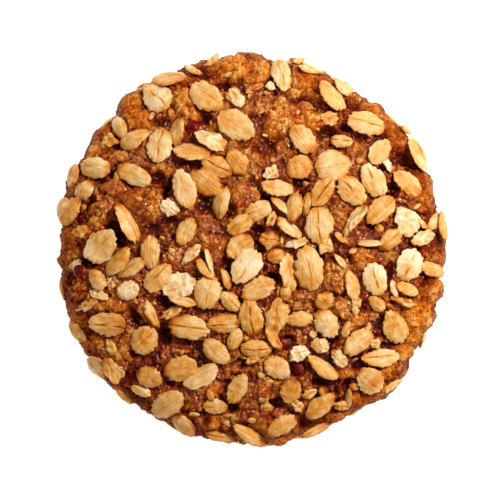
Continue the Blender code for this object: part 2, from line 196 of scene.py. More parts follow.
def edge_radius(turn):
    """How far the edge is from the middle in each direction: straight between the spots' own distances."""
    spots = np.array([place_of(column, row) for column, row in EDGE_SPOTS])
    turns = np.arctan2(spots[:, 1], spots[:, 0])
    order = np.argsort(turns)
    return np.interp(turn, turns[order], np.hypot(spots[:, 0], spots[:, 1])[order], period=2 * math.pi)


def edge_share(points):
    """How far out each point is, as a share of the edge's distance in its direction."""
    return np.hypot(points[:, 0], points[:, 1]) / edge_radius(np.arctan2(points[:, 1], points[:, 0]))


def half_section():
    """Walk, share of the edge's radius, height and normal of the half section, from crown to foot.

    Above the widest line a superellipse, below it a quarter of an ellipse that runs into the foot.
    """
    angle = np.linspace(0, math.pi / 2, SECTION_STEPS)
    upper_share = np.sin(angle) ** (2 / SHOULDER_POWER)
    upper_height = WIDEST_HEIGHT + (CROWN_HEIGHT - WIDEST_HEIGHT) * np.cos(angle)
    lower_share = FOOT_SHARE + (1 - FOOT_SHARE) * np.cos(angle[1:])
    lower_height = WIDEST_HEIGHT * (1 - np.sin(angle[1:]))
    share = np.concatenate([upper_share, lower_share])
    height = np.concatenate([upper_height, lower_height])
    out = share * COOKIE_WIDTH / 2
    steps = np.hypot(np.diff(out), np.diff(height))
    walk = np.concatenate([[0], np.cumsum(steps)]) / steps.sum()
    along_out = np.gradient(out, walk)
    along_up = np.gradient(height, walk)
    size = np.hypot(along_out, along_up)
    return walk, share, height, -along_up / size, along_out / size


def plain_surface(walk, turn):
    """Points and normals of the plain form: the half section swept round the lobed edge."""
    walks, shares, heights, normals_out, normals_up = half_section()
    radius = np.interp(walk, walks, shares) * edge_radius(turn)
    height = np.interp(walk, walks, heights)
    out = np.interp(walk, walks, normals_out)
    up = np.interp(walk, walks, normals_up)
    points = np.stack([radius * np.cos(turn), radius * np.sin(turn), height], axis=-1)
    normals = np.stack([out * np.cos(turn), out * np.sin(turn), up], axis=-1)
    return points, normals


def plain_height(x, y):
    """Height of the plain form's top over each place."""
    _, shares, heights, _, _ = half_section()
    share = np.hypot(x, y) / edge_radius(np.arctan2(y, x))
    top = heights >= WIDEST_HEIGHT
    return np.interp(share, shares[top], heights[top])


def lattice_random(cells, seed):
    """A steady random number from 0 to 1 for each whole-number cell: its counts mixed by large primes."""
    x, y, z = (cells[..., axis].astype(np.uint32) for axis in range(3))
    mixed = x * np.uint32(73856093) ^ y * np.uint32(19349663) ^ z * np.uint32(83492791)
    mixed = mixed ^ np.uint32(seed * 2654435 + 97)
    mixed = (mixed ^ (mixed >> np.uint32(13))) * np.uint32(1274126177)
    mixed = (mixed ^ (mixed >> np.uint32(15))) * np.uint32(2246822519)
    return (mixed >> np.uint32(8)) / float(1 << 24)


def soft_noise(points, size, seed):
    """Noise from -1 to 1: random numbers at the corners of cubes of this size, blended smoothly between."""
    scaled = points / size
    cell = np.floor(scaled).astype(np.int64)
    part = scaled - cell
    blend = part * part * (3 - 2 * part)
    total = np.zeros(points.shape[:-1])
    for corner in np.ndindex(2, 2, 2):
        weight = np.prod(np.where(corner, blend, 1 - blend), axis=-1)
        total += weight * lattice_random(cell + np.array(corner), seed)
    return total * 2 - 1


def nearest_balls(points, size, seed):
    """Distances, in cubes, to the nearest two of the balls strewn one to each cube of this size."""
    scaled = points / size
    cell = np.floor(scaled).astype(np.int64)
    first = np.full(len(points), np.inf)
    second = np.full(len(points), np.inf)
    for step in np.ndindex(3, 3, 3):
        near = cell + np.array(step) - 1
        ball = near + np.stack([lattice_random(near, seed + axis) for axis in range(3)], axis=-1)
        away = np.linalg.norm(scaled - ball, axis=1)
        second = np.minimum(second, np.maximum(first, away))
        first = np.minimum(first, away)
    return first, second


def ramp(value, low, high):
    """Rises smoothly from 0 to 1 as the value goes from low to high."""
    part = np.clip((value - low) / (high - low), 0, 1)
    return part * part * (3 - 2 * part)


def oval_away(points, column, row, length, width, degrees):
    """Distance of each point from the middle of an oval, seen from above: 1 on the oval itself."""
    x, y = place_of(column, row)
    turn = math.radians(degrees)
    east, north = points[:, 0] - x, points[:, 1] - y
    along = east * math.cos(turn) + north * math.sin(turn)
    across = north * math.cos(turn) - east * math.sin(turn)
    return np.hypot(along / (length * PIXEL / 2), across / (width * PIXEL / 2))


def spread_lumps():
    """Middle, reach and swell of unnamed lumps: a golden spiral over the plain form, with a jitter."""
    rng = np.random.default_rng(SEED)
    count = np.arange(SPREAD_LUMPS)
    walk = np.sqrt((count + 0.5) / SPREAD_LUMPS) + rng.uniform(-WALK_JITTER, WALK_JITTER, SPREAD_LUMPS)
    turn = count * GOLDEN_TURN + rng.uniform(-TURN_JITTER, TURN_JITTER, SPREAD_LUMPS)
    middles, _ = plain_surface(np.clip(walk, 0, 1), turn)
    reaches = SPREAD_LUMP_REACH * rng.uniform(*SPREAD_LUMP_REACH_SHARES, SPREAD_LUMPS)
    swells = SPREAD_LUMP_SWELL * rng.uniform(*SPREAD_LUMP_SWELL_SHARES, SPREAD_LUMPS)
    return middles, reaches, swells


def lump_swell(points):
    """How far the lumps stand over the plain form: the tallest round cap at each point, less their mean."""
    tallest = np.zeros(len(points))
    for middle, reach, swell in zip(*spread_lumps()):
        away = np.linalg.norm(points - middle, axis=1) / reach
        tallest = np.maximum(tallest, swell * np.sqrt(np.clip(1 - away**2, 0, 1)))
    upper = ramp(points[:, 2], *SEEN_LUMP_HEIGHTS)
    for lump in LUMPS_SEEN:
        away = oval_away(points, *lump[:5]) / LUMP_SPREAD
        swell = SEEN_LUMP_STEEPNESS * lump[3] * PIXEL / 2 * upper
        tallest = np.maximum(tallest, swell * np.clip(1 - away**2, 0, 1) ** SEEN_LUMP_SOFTNESS)
    return tallest - MEAN_SWELL


def gap_depth(points):
    """How deep the seen gaps cut in at each point: each is a smooth hollow over its oval."""
    deepest = np.zeros(len(points))
    for gap in GAPS_SEEN:
        depth = min(GAP_DEPTH_SHARE * gap[3] * PIXEL / 2, DEEPEST_GAP)
        deepest = np.maximum(deepest, depth * (1 - ramp(oval_away(points, *gap), *GAP_EDGE)))
    return deepest * ramp(points[:, 2], *GAP_HEIGHTS)


def seen_lump_share(points, column):
    """How far each point belongs to the lumps seen, weighted by one column of their list."""
    share = np.zeros(len(points))
    for lump in LUMPS_SEEN:
        inside = 1 - ramp(oval_away(points, *lump[:5]), *LUMP_COLOUR_EDGE)
        share = np.maximum(share, lump[column] / 10 * inside)
    return share


def round_cap(away, steepness):
    """A round cap over a ball: 1 at its middle, falling as a parabola to 0 at the ball's edge."""
    return 1 - np.clip(away * steepness, 0, 1) ** 2


def crumb_relief(points):
    """Height of the cobbles, cracks and grains over the plain form, in metres.

    Caps of balls at three sizes, with cracks along the borders between the largest balls and deep pits
    where a slow noise is low. Smooth lumps keep only a little of the fine caps.
    """
    sway = np.stack([soft_noise(points, SWAY_SIZE, seed) for seed in (21, 22, 23)], axis=-1)
    swayed = points + sway * SWAY
    smooth = seen_lump_share(points, SMOOTH)
    big, big_next = nearest_balls(swayed, BIG_COBBLE, 31)
    mid, mid_next = nearest_balls(swayed, MID_COBBLE, 41)
    fine, _ = nearest_balls(points, FINE_COBBLE, 51)
    crack = 1 - ramp(big_next - big, 0.0, CRACK_WIDTH)
    split = 1 - ramp(mid_next - mid, 0.0, CRACK_WIDTH)
    patchy = ramp(soft_noise(points, CRACKED_PATCH, 61), *CRACKED_RANGE)
    pit = ramp(-soft_noise(points, PIT_SIZE, 71), *PIT_RANGE)
    cobbles = BIG_COBBLE_HEIGHT * round_cap(big, BALL_STEEPNESS)
    cobbles = cobbles + MID_COBBLE_HEIGHT * round_cap(mid, BALL_STEEPNESS)
    grains = FINE_COBBLE_HEIGHT * round_cap(fine, FINE_STEEPNESS)
    grains = grains + GRAIN_HEIGHT * soft_noise(points, GRAIN_SIZE, 81)
    fold = 1 - ramp(abs(soft_noise(swayed, FOLD_SIZE, 95)), 0.0, FOLD_WIDTH)
    cuts = CRACK_DEPTH * crack * patchy + SPLIT_DEPTH * split + PIT_DEPTH * pit + FOLD_DEPTH * fold
    kept = cobbles * (1 - SMOOTH_COBBLE_LOSS * smooth) + grains * (1 - SMOOTH_GRAIN_LOSS * smooth)
    return kept - cuts * (1 - smooth) - MEAN_RELIEF


def shell_grid():
    """Walk and turn of every point, and the faces between them.

    A square grid bent into a disc makes the top. Rings run down the side, then in over the foot to a point.
    On the foot the walk goes on past 1, up to 2 at the middle.
    """
    line = np.linspace(-1, 1, TOP_SQUARES + 1)
    u, v = np.meshgrid(line, line)
    ring = np.maximum(abs(u), abs(v))
    wide = abs(u) >= abs(v)
    long_side = np.where(wide, u, v)
    short_side = np.where(wide, v, u)
    part = np.divide(short_side, long_side, out=np.zeros_like(u), where=long_side != 0)
    turn = np.where(wide, part * math.pi / 4, math.pi / 2 - part * math.pi / 4)
    turn = np.where(long_side < 0, turn + math.pi, turn)
    index = np.arange(u.size).reshape(u.shape)
    rim = np.concatenate([index[0, :-1], index[:-1, -1], index[-1, :0:-1], index[:0:-1, 0]])
    rim_turn = turn.ravel()[rim]
    side_walk = np.linspace(TOP_WALK, 1, SIDE_BANDS + 1)[1:]
    foot_walk = 1 + np.linspace(0, FOOT_REACH, FOOT_BANDS + 1)[1:]
    band_walk = np.concatenate([side_walk, foot_walk])
    walk = np.concatenate([(ring * TOP_WALK).ravel(), np.repeat(band_walk, len(rim)), [2.0]])
    turns = np.concatenate([turn.ravel(), np.tile(rim_turn, len(band_walk)), [0.0]])
    corners = [index[:-1, :-1], index[:-1, 1:], index[1:, 1:], index[1:, :-1]]
    faces = [np.stack(corners, axis=-1).reshape(-1, 4)]
    starts = index.size + np.arange(len(band_walk))[:, None] * len(rim) + np.arange(len(rim))
    rings = np.concatenate([rim[None], starts])
    upper, lower = rings[:-1], rings[1:]
    bands = [upper, lower, np.roll(lower, -1, axis=1), np.roll(upper, -1, axis=1)]
    faces.append(np.stack(bands, axis=-1).reshape(-1, 4))
    last = rings[-1]
    middle = np.full(len(last), len(walk) - 1)
    cap = np.stack([last, middle, np.roll(last, -1)], axis=-1)
    return walk, turns, np.concatenate(faces), cap


def crumb_shell():
    """Points of the crumb before the oats press into it, its faces, and how high each point looks.

    Each point of the plain form moves along its normal by swell plus relief, and less and less near the foot.
    How high it looks sets its colour, partly painted light and shade: relief, and only a share of a lump's
    swell.
    """
    walk, turn, quads, cap = shell_grid()
    points, normals = plain_surface(np.clip(walk, 0, 1), turn)
    inward = np.clip(2 - walk, 0, 1)
    points[:, :2] *= np.where(walk > 1, inward, 1)[:, None]
    fade = ramp(points[:, 2], 0, FOOT_BLEND_HEIGHT)
    swell = lump_swell(points) - gap_depth(points)
    side = ramp(walk, *CALM_WALK)
    lobe, _ = nearest_balls(points * (1, 1, LOBE_FLATNESS), LOBE_SIZE, 111)
    relief = crumb_relief(points) * (1 - SIDE_CALM * side)
    relief += side * LOBE_RISE * (LOBE_MEAN - np.clip(lobe * BALL_STEEPNESS, 0, 1) ** 2)
    rise = swell + relief
    pits = FOOT_PIT_DEPTH * ramp(soft_noise(points, FOOT_PIT_SIZE, 91), *FOOT_PIT_RANGE)
    inner_foot = ramp(walk, *INNER_FOOT_WALK)
    points = points + normals * (rise * fade)[:, None]
    points[:, 2] += pits * inner_foot
    # How high each point looks, which its colour follows: painted light on the tops, painted shade in the
    # hollows
    shade = relief + np.where(swell > 0, LUMP_SHADE_SHARE, 1) * swell
    return points, quads, cap, shade * (1 - inner_foot)


crumb_points, crumb_quads, crumb_cap, crumb_light_and_shade_height = crumb_shell()

# Rolled oats: steamed groats pressed flat between rollers, so each is a thin oval pillow with a toothed rim.
# They lie in the dough as they fell, sunk in it and leaning on one another, and the oven toasts them.
# Lowest first: column, row, length and width in pixels, turn in degrees, how toasted from 0 to 9, and form:
# s smooth, c with a lengthwise crease, r wrinkled, e standing on its edge.
OATS_SEEN = (
    (217, 168, 33, 20, -25, 6, "c"), (238, 164, 29, 20, -55, 6, "s"), (222, 203, 33, 16, 80, 4, "s"),
    (179, 133, 30, 14, 75, 6, "s"), (169, 80, 36, 14, 8, 5, "s"), (121, 128, 23, 14, 111, 3, "s"),
    (75, 177, 24, 11, 75, 5, "s"), (98, 169, 30, 21, -5, 2, "s"), (136, 176, 36, 20, -28, 2, "s"),
    (137, 141, 32, 16, 30, 4, "s"), (159, 100, 31, 28, -50, 1, "c"), (207, 99, 37, 27, -35, 3, "s"),
    (236, 127, 41, 29, -35, 3, "s"), (161, 147, 35, 25, 78, 1, "c"), (211, 141, 33, 16, -25, 1, "r"),
    (193, 154, 37, 16, -5, 3, "s"), (208, 184, 36, 24, -35, 6, "s"), (186, 190, 40, 23, -74, 1, "s"),
    (187, 232, 29, 18, 62, 5, "s"), (241, 225, 30, 18, 30, 4, "s"), (65, 208, 21, 13, 68, 4, "s"),
    (73, 212, 32, 18, 57, 4, "s"), (86, 191, 22, 17, 45, 2, "s"), (128, 222, 45, 14, -62, 3, "c"),
    (134, 268, 32, 14, 32, 4, "s"), (122, 262, 34, 17, 50, 4, "s"), (105, 246, 38, 29, 50, 2, "s"),
    (152, 253, 34, 19, 92, 4, "s"), (281, 77, 34, 19, -76, 2, "c"), (330, 98, 37, 17, -52, 3, "s"),
    (302, 141, 34, 22, -50, 3, "s"), (340, 143, 22, 13, -5, 4, "c"), (365, 125, 38, 23, -15, 2, "c"),
    (378, 153, 29, 20, 55, 2, "s"), (416, 155, 36, 15, -65, 3, "c"), (298, 169, 28, 24, 20, 4, "s"),
    (332, 167, 37, 31, 10, 3, "s"), (276, 190, 32, 16, -10, 2, "s"), (257, 212, 30, 18, 25, 4, "c"),
    (306, 205, 24, 8, 80, 5, "e"), (280, 207, 27, 7, -43, 3, "e"), (288, 229, 31, 11, -38, 3, "s"),
    (294, 209, 32, 17, 80, 6, "s"), (321, 193, 33, 20, 55, 5, "c"), (350, 192, 34, 24, -45, 3, "c"),
    (371, 181, 36, 24, -60, 3, "c"), (405, 184, 34, 19, -38, 3, "s"), (378, 211, 36, 22, 45, 3, "s"),
    (353, 221, 36, 10, 52, 2, "r"), (318, 226, 38, 28, 92, 3, "c"), (421, 238, 25, 14, 25, 2, "r"),
    (433, 222, 22, 11, 55, 4, "s"), (388, 240, 28, 18, 40, 4, "c"), (405, 222, 32, 24, -60, 1, "r"),
    (438, 226, 30, 7, -80, 5, "e"), (368, 244, 25, 6, 0, 1, "e"), (100, 279, 23, 16, -60, 4, "s"),
    (130, 290, 23, 19, 20, 1, "s"), (110, 323, 37, 24, -2, 4, "c"), (78, 331, 25, 12, -55, 5, "s"),
    (180, 286, 34, 26, 20, 0, "r"), (160, 277, 34, 21, 45, 3, "c"), (184, 303, 25, 9, -12, 2, "e"),
    (192, 255, 25, 11, 45, 1, "r"), (205, 270, 26, 11, -48, 4, "s"), (207, 262, 27, 5, -75, 1, "e"),
    (230, 300, 24, 16, -45, 4, "s"), (208, 292, 34, 27, 75, 4, "s"), (226, 278, 22, 8, -68, 6, "e"),
    (224, 322, 33, 19, 5, 6, "c"), (190, 326, 43, 24, -8, 3, "c"), (235, 338, 24, 14, 68, 4, "s"),
    (217, 350, 33, 20, -40, 5, "s"), (240, 247, 30, 24, 40, 4, "s"), (258, 288, 36, 22, 25, 4, "s"),
    (246, 266, 38, 27, 55, 0, "c"), (276, 256, 19, 14, 20, 7, "s"), (285, 291, 18, 11, 90, 5, "s"),
    (288, 272, 38, 17, 97, 3, "r"), (308, 268, 45, 28, 98, 3, "c"), (251, 316, 39, 23, -80, 5, "c"),
    (298, 318, 28, 15, 5, 4, "s"), (272, 338, 28, 9, -55, 6, "e"), (276, 317, 38, 21, 78, 4, "r"),
    (323, 300, 20, 17, 30, 5, "s"), (325, 322, 32, 23, -60, 3, "s"), (256, 347, 31, 18, 0, 3, "c"),
    (319, 344, 18, 15, 0, 1, "r"), (345, 328, 18, 8, 70, 5, "e"), (337, 262, 17, 6, -50, 1, "e"),
    (375, 303, 20, 13, -40, 4, "s"), (373, 279, 34, 24, -76, 1, "c"), (431, 270, 26, 14, -25, 6, "s"),
    (407, 265, 34, 26, 65, 0, "c"), (404, 289, 24, 12, -25, 3, "s"), (391, 288, 18, 7, -75, 1, "e"),
    (393, 326, 34, 24, -68, 4, "s"), (350, 284, 31, 14, -75, 2, "s"), (356, 341, 34, 21, 38, 4, "s"),
    (99, 365, 26, 15, -50, 5, "s"), (113, 368, 29, 14, -65, 3, "r"), (125, 396, 22, 7, -42, 6, "e"),
    (142, 389, 22, 11, -20, 3, "r"), (151, 375, 27, 21, -25, 4, "s"), (146, 339, 31, 26, 45, 4, "s"),
    (181, 367, 34, 25, 15, 5, "s"), (203, 375, 39, 19, 30, 2, "s"), (169, 402, 35, 25, 32, 5, "s"),
    (185, 424, 27, 17, -42, 5, "s"), (216, 404, 24, 15, -5, 3, "s"), (238, 386, 33, 18, 62, 4, "s"),
    (221, 436, 31, 10, -12, 5, "c"), (249, 434, 38, 14, -35, 5, "s"), (277, 366, 28, 22, -35, 3, "s"),
    (298, 352, 20, 16, 20, 0, "r"), (320, 367, 36, 14, -38, 5, "s"), (338, 357, 20, 13, -55, 1, "r"),
    (290, 388, 25, 21, 80, 5, "s"), (320, 404, 36, 18, 38, 4, "s"), (281, 423, 33, 18, 30, 5, "s"),
    (315, 430, 31, 9, 25, 5, "e"), (348, 397, 20, 7, 88, 3, "e"), (378, 357, 37, 17, 3, 2, "c"),
    (369, 379, 30, 26, -45, 5, "s"),
)
OAT_TRUE_WIDTH_SHARE = 0.55
STEEPEST_LEAN = 1.6
OAT_LIFT = 0.00035
STACK_STEP = 0.00055
MOST_STACKED = 3
STACK_NEARNESS = 0.2
LOWEST_BED = -0.0002
LEAST_STEEPNESS = 1e-6


def unit(vectors):
    """Each vector divided by its length."""
    return vectors / np.linalg.norm(vectors, axis=1, keepdims=True)


def slope_normal(lean):
    """The unit normal of a surface that rises this steeply along x and along y."""
    return unit(np.stack([-lean[:, 0], -lean[:, 1], np.ones(len(lean))], axis=-1))


def on_slope(level, lean):
    """Level vectors raised until they lie in a surface: by their x and y times its lean along each."""
    return np.concatenate([level, np.sum(level * lean, axis=1, keepdims=True)], axis=1)


def plain_lean(x, y):
    """How steeply the plain top rises along x and along y, from its heights two pixels either side."""
    step = PIXEL * 2
    rise_x = (plain_height(x + step, y) - plain_height(x - step, y)) / (2 * step)
    rise_y = (plain_height(x, y + step) - plain_height(x, y - step)) / (2 * step)
    lean = np.stack([rise_x, rise_y], axis=-1)
    steepness = np.linalg.norm(lean, axis=-1, keepdims=True)
    return lean * np.minimum(1, STEEPEST_LEAN / np.maximum(steepness, LEAST_STEEPNESS))


def stack_lifts(oats):
    """How much each oat is raised because it lies over earlier ones whose middles are near."""
    lifts = []
    for number, oat in enumerate(oats):
        lift = 0.0
        for other, below in zip(oats[:number], lifts):
            apart = math.hypot(oat[0] - other[0], oat[1] - other[1])
            if apart < STACK_NEARNESS * (oat[2] + oat[3] + other[2] + other[3]):
                lift = max(lift, below + STACK_STEP)
        lifts.append(min(lift, MOST_STACKED * STACK_STEP))
    return np.array(lifts)


def laid_oats(oats):
    """Middle, half length, half width and normal of each oat, as arrays of vectors.

    Each lies on the slope of the plain top, and a narrow one leans further, its face turned up the picture.
    Its outline is stretched along the slope, so that from above it is the oval that the list gives.
    """
    column, row, length, width, degrees = np.array([oat[:5] for oat in oats], float).T
    x, y = place_of(column, row)
    turn = np.radians(degrees)
    cross = np.stack([-np.sin(turn), np.cos(turn)], axis=-1)
    cross *= np.where(cross[:, 1:] < 0, -1, 1)
    true_width = np.maximum(width, OAT_TRUE_WIDTH_SHARE * length)
    stand = np.minimum(np.sqrt((true_width / width) ** 2 - 1), STEEPEST_LEAN)
    lean = plain_lean(x, y) - cross * stand[:, None]
    normal = slope_normal(lean)
    ground = np.stack([x, y, plain_height(x, y)], axis=-1)
    lump = np.maximum(lump_swell(ground), LOWEST_BED)
    middle = ground + normal * (lump + OAT_LIFT + stack_lifts(oats))[:, None]
    long_level = np.stack([np.cos(turn), np.sin(turn)], axis=-1) * (length * PIXEL / 2)[:, None]
    cross_level = np.stack([-np.sin(turn), np.cos(turn)], axis=-1) * (width * PIXEL / 2)[:, None]
    return middle, on_slope(long_level, lean), on_slope(cross_level, lean), normal


# Oats in the side, where the view from above misses them: pressed flat into it as the dough was shaped
SIDE_OATS = 28
SIDE_OAT_STRAY = 0.35
SIDE_OAT_SPIN = 0.8
SIDE_WALK = (0.86, 0.97)
SIDE_OAT_LENGTH = (0.0055, 0.0080)
SIDE_OAT_SLIMNESS = (0.50, 0.70)
SIDE_OAT_TILT = 0.16
SIDE_OAT_LIFT = -0.0008


def side_oats():
    """The same four arrays for oats spread evenly round the side, at seeded heights, sizes and turns."""
    rng = np.random.default_rng(SEED + 1)
    stray = rng.uniform(-SIDE_OAT_STRAY, SIDE_OAT_STRAY, SIDE_OATS)
    turn = 2 * math.pi * (np.arange(SIDE_OATS) + stray) / SIDE_OATS
    middle, normal = plain_surface(rng.uniform(*SIDE_WALK, SIDE_OATS), turn)
    normal = unit(normal + rng.normal(0, SIDE_OAT_TILT, normal.shape))
    level = np.stack([-np.sin(turn), np.cos(turn), np.zeros(SIDE_OATS)], axis=-1)
    rising = unit(np.cross(normal, level))
    level = np.cross(rising, normal)
    spin = rng.uniform(-SIDE_OAT_SPIN, SIDE_OAT_SPIN, SIDE_OATS)[:, None]
    half_length = rng.uniform(*SIDE_OAT_LENGTH, SIDE_OATS)[:, None] / 2
    slimness = rng.uniform(*SIDE_OAT_SLIMNESS, SIDE_OATS)[:, None]
    long_way = (level * np.cos(spin) + rising * np.sin(spin)) * half_length
    cross_way = (rising * np.cos(spin) - level * np.sin(spin)) * half_length * slimness
    return middle + normal * SIDE_OAT_LIFT, long_way, cross_way, normal


# The form of one oat: heights in metres, and the rest in shares of its half length and half width
OAT_TOP = 0.00055
OAT_UNDER = 0.00050
FULL_THICKNESS_HALF_WIDTH = 0.0021
RING_CROWDING = 0.8
SHOULDER_ROUNDNESS = 0.7
OAT_DOME = {"s": (0.0001, 0.0007), "c": (0.0001, 0.0006), "r": (-0.0001, 0.0004), "e": (0.0003, 0.0007)}
OAT_BOW = 0.0005
OAT_TWIST = 0.0006
OAT_EGG = 0.16
OAT_POINT = 0.16
CREASE_DEPTH = {"s": 0.00012, "c": 0.00036, "r": 0.00018, "e": 0.00028}
CREASE_WIDTH = 0.075
CREASE_WANDER = 0.12
CREASE_ENDS = (-0.97, -0.6)
CREASE_BREAKS = (-0.8, 0.1)
LIP_WIDTH = 0.28
CREASE_LIP_SHARE = 0.45
FOLD_STRETCH = 0.6
FOLD_HEIGHT = {"s": 0.00014, "c": 0.00015, "r": 0.00036, "e": 0.00012}
FINE_FOLDS = 0.6
RIDGE_POWER = 0.7
FOLD_POWER = 0.5
TOOTH_POWER = 6
TOOTH_DEPTH = 0.10
TOOTH_SHARE = 0.8
LEAST_SIDE_TEETH = 0.6
RAGGEDNESS = {"s": 0.3, "c": 0.35, "r": 1.5, "e": 0.3}
OAT_SIDES = 76
OAT_TOP_RINGS = 13
OAT_UNDER_RINGS = 3
NOISE_APART = 7.3

# Each noise's size over the oat, and what it adds to the oats' seed
OAT_NOISES = {
    "ragged": (0.8, 0), "wander": (0.7, 2), "ridges": (0.50, 3), "wrinkles": (0.22, 4), "blotches": (0.8, 5),
    "specks": (0.25, 6), "rim": (1.2, 7), "breaks": (0.55, 8),
}

# Its toasting: what the list says, then browner at one tip and in patches round the rim. Darker down the
# crease by its depth, partly its own browner line and partly painted shade, and paler on the folds' ridges
# and darker in their dips, painted light and shade.
LISTED_TOAST = (0, 2, 9)
PAINTED_TOAST = (0.04, 0.29, 0.68)
BODY_TOAST = 0.06
BLOTCH_TOAST = 0.22
SPECK_TOAST = 0.10
PALE_TO_TOASTED = (2, 5)
RIM_SHIFT = (0.16, 0.36)
RIM_BAND = (0.74, 0.96)
RIM_MEAN = 0.34
TIP_BAND = (0.5, 1.0)
TIP_TOAST = 0.5
# How much darker the crease gets and how much paler the folds' ridges, per metre of height: painted shade and
# light
CREASE_TOAST_AND_SHADE = 1400.0
FOLD_LIGHT_AND_SHADE = 500.0


def oat_shells(laid, forms, toasts, seed, tooth_depth=TOOTH_DEPTH, sides=OAT_SIDES, top_rings=OAT_TOP_RINGS):
    """Points, faces, toasting with painted light and shade, and grain of closed oat shells, all at once.

    Rings run from a point on the face out to the rim, then back under it to a second point. The face rises
    as an ellipse over a shallow dome. Slow noise and random bites cut the rim into teeth. A crease is a
    narrow dip along the oat between two lips, and folds are noise. With u along the oat and v across it, a
    height that goes by the square of u bows it, and one that goes by u times v twists it.
    """
    middle, long_way, cross_way, normal = (part[:, None, None, :] for part in laid)
    count = len(laid[0])
    rng = np.random.default_rng(seed)

    def draw(low, high):
        """A random number for each oat."""
        return rng.uniform(low, high, count)[:, None, None]

    def by_form(values):
        """The value for each oat's form."""
        return np.array([values[form] for form in forms])[:, None, None]

    def noise(places, name):
        """The noise of this name at these places."""
        size, number = OAT_NOISES[name]
        return soft_noise(places, size, seed + number)

    ident = np.arange(count)[:, None, None] * NOISE_APART + seed
    out = np.concatenate([np.linspace(0, 1, top_rings), np.linspace(1, 0, OAT_UNDER_RINGS + 1)[1:]])
    face_side = np.concatenate([np.ones(top_rings), np.zeros(OAT_UNDER_RINGS)])[None, :, None]
    rho = (np.sin(out * math.pi / 2) ** RING_CROWDING)[None, :, None]
    height = np.cos(out * math.pi / 2)[None, :, None] ** SHOULDER_ROUNDNESS
    phi = (2 * math.pi * np.arange(sides) / sides)[None, None, :]
    egg = draw(-OAT_EGG, OAT_EGG)
    pointed = draw(0.0, OAT_POINT)
    u = rho * np.cos(phi) * (1 + 0 * ident)
    v = rho * np.sin(phi) * (1 + egg * np.cos(phi)) * (1 - pointed * np.cos(phi) ** 2)
    around = np.stack(np.broadcast_arrays(np.cos(phi) * 2 + ident, np.sin(phi) * 2, ident * 0.0), axis=-1)
    flat = np.stack(np.broadcast_arrays(u + ident, v * FOLD_STRETCH, ident * 0.0), axis=-1)

    bites = np.repeat(rng.uniform(-1, 1, (count, 1, sides // 2)), 2, axis=2)
    teeth = bites * (LEAST_SIDE_TEETH + (1 - LEAST_SIDE_TEETH) * abs(np.sin(phi)))
    ragged = by_form(RAGGEDNESS) * noise(around, "ragged")
    jag = 1 + tooth_depth * (ragged + TOOTH_SHARE * teeth) * rho**TOOTH_POWER

    wander = draw(-CREASE_WANDER, CREASE_WANDER) + CREASE_WANDER * noise(flat, "wander")
    along = ramp(-abs(u), *CREASE_ENDS)
    crease = np.exp(-(((v - wander) / CREASE_WIDTH) ** 2)) * along
    crease = crease * ramp(noise(flat, "breaks"), *CREASE_BREAKS)
    lips = np.exp(-(((v - wander) / LIP_WIDTH) ** 2)) * along
    ridges = 1 - 2 * abs(noise(flat, "ridges")) ** RIDGE_POWER
    folds = ridges + FINE_FOLDS * noise(flat, "wrinkles")

    lift = np.where(face_side > 0, OAT_TOP, -OAT_UNDER) * height
    lift = lift + face_side * by_form(CREASE_DEPTH) * (CREASE_LIP_SHARE * lips - crease)
    lift = lift + face_side * by_form(FOLD_HEIGHT) * folds * height**FOLD_POWER
    dome = np.array([rng.uniform(*OAT_DOME[form]) for form in forms])[:, None, None]
    lift = lift + dome * (1 - rho**2) + draw(-OAT_BOW, OAT_BOW) * u**2 + draw(-OAT_TWIST, OAT_TWIST) * u * v
    thinness = np.minimum(1, np.linalg.norm(cross_way, axis=-1) / FULL_THICKNESS_HALF_WIDTH)
    points = middle + (long_way * u[..., None] + cross_way * v[..., None]) * jag[..., None]
    points = points + normal * (lift * thinness)[..., None]

    given = np.array(toasts, float)[:, None, None]
    body = np.interp(given, LISTED_TOAST, PAINTED_TOAST) + BODY_TOAST * (1 - rho**2)
    blotch = BLOTCH_TOAST * noise(flat, "blotches") + SPECK_TOAST * noise(flat, "specks")
    tip = ramp(u * np.sign(draw(-1, 1)), *TIP_BAND) * draw(0.0, TIP_TOAST)
    rim = ramp(rho + 0 * u, *RIM_BAND) * (RIM_MEAN + noise(around, "rim"))
    # Painted shade down the crease, with its own browner line, and painted light and shade on the folds'
    # ridges and dips
    crease_and_fold_shading = CREASE_TOAST_AND_SHADE * crease * by_form(CREASE_DEPTH) - FOLD_LIGHT_AND_SHADE * folds * by_form(FOLD_HEIGHT)
    toast_and_shade = body + blotch + tip + rim * np.interp(given, PALE_TO_TOASTED, RIM_SHIFT) + crease_and_fold_shading
    long_mm = np.linalg.norm(long_way, axis=-1) * 1000
    cross_mm = np.linalg.norm(cross_way, axis=-1) * 1000
    grain = np.stack(np.broadcast_arrays(u * long_mm + ident, v * cross_mm, ident), axis=-1)
    points, faces = ring_mesh(points)
    return points, faces, {"toast_and_shade": ring_order(toast_and_shade[..., None])[:, 0], "grain": ring_order(grain)}


def ring_order(values):
    """Values at the points of shells made of rings: the rings first, then each end ring as one value."""
    width = values.shape[-1]
    return np.concatenate([values[:, 1:-1].reshape(-1, width), values[:, [0, -1], 0].reshape(-1, width)])


def ring_mesh(points):
    """Points and faces of closed shells given as rings of points, the first and last ring one point each."""
    count, rings, sides, _ = points.shape
    ring = np.arange(count * (rings - 2) * sides).reshape(count, rings - 2, sides)
    following = np.roll(ring, -1, axis=2)
    ends = ring.size + np.arange(2 * count).reshape(count, 2, 1) + np.zeros((1, 1, sides), int)
    quads = np.stack([ring[:, :-1], ring[:, 1:], following[:, 1:], following[:, :-1]], axis=-1)
    first = np.stack([ends[:, 0], ring[:, 0], following[:, 0]], axis=-1)
    last = np.stack([ends[:, 1], following[:, -1], ring[:, -1]], axis=-1)
    return ring_order(points), [quads.reshape(-1, 4), first.reshape(-1, 3), last.reshape(-1, 3)]


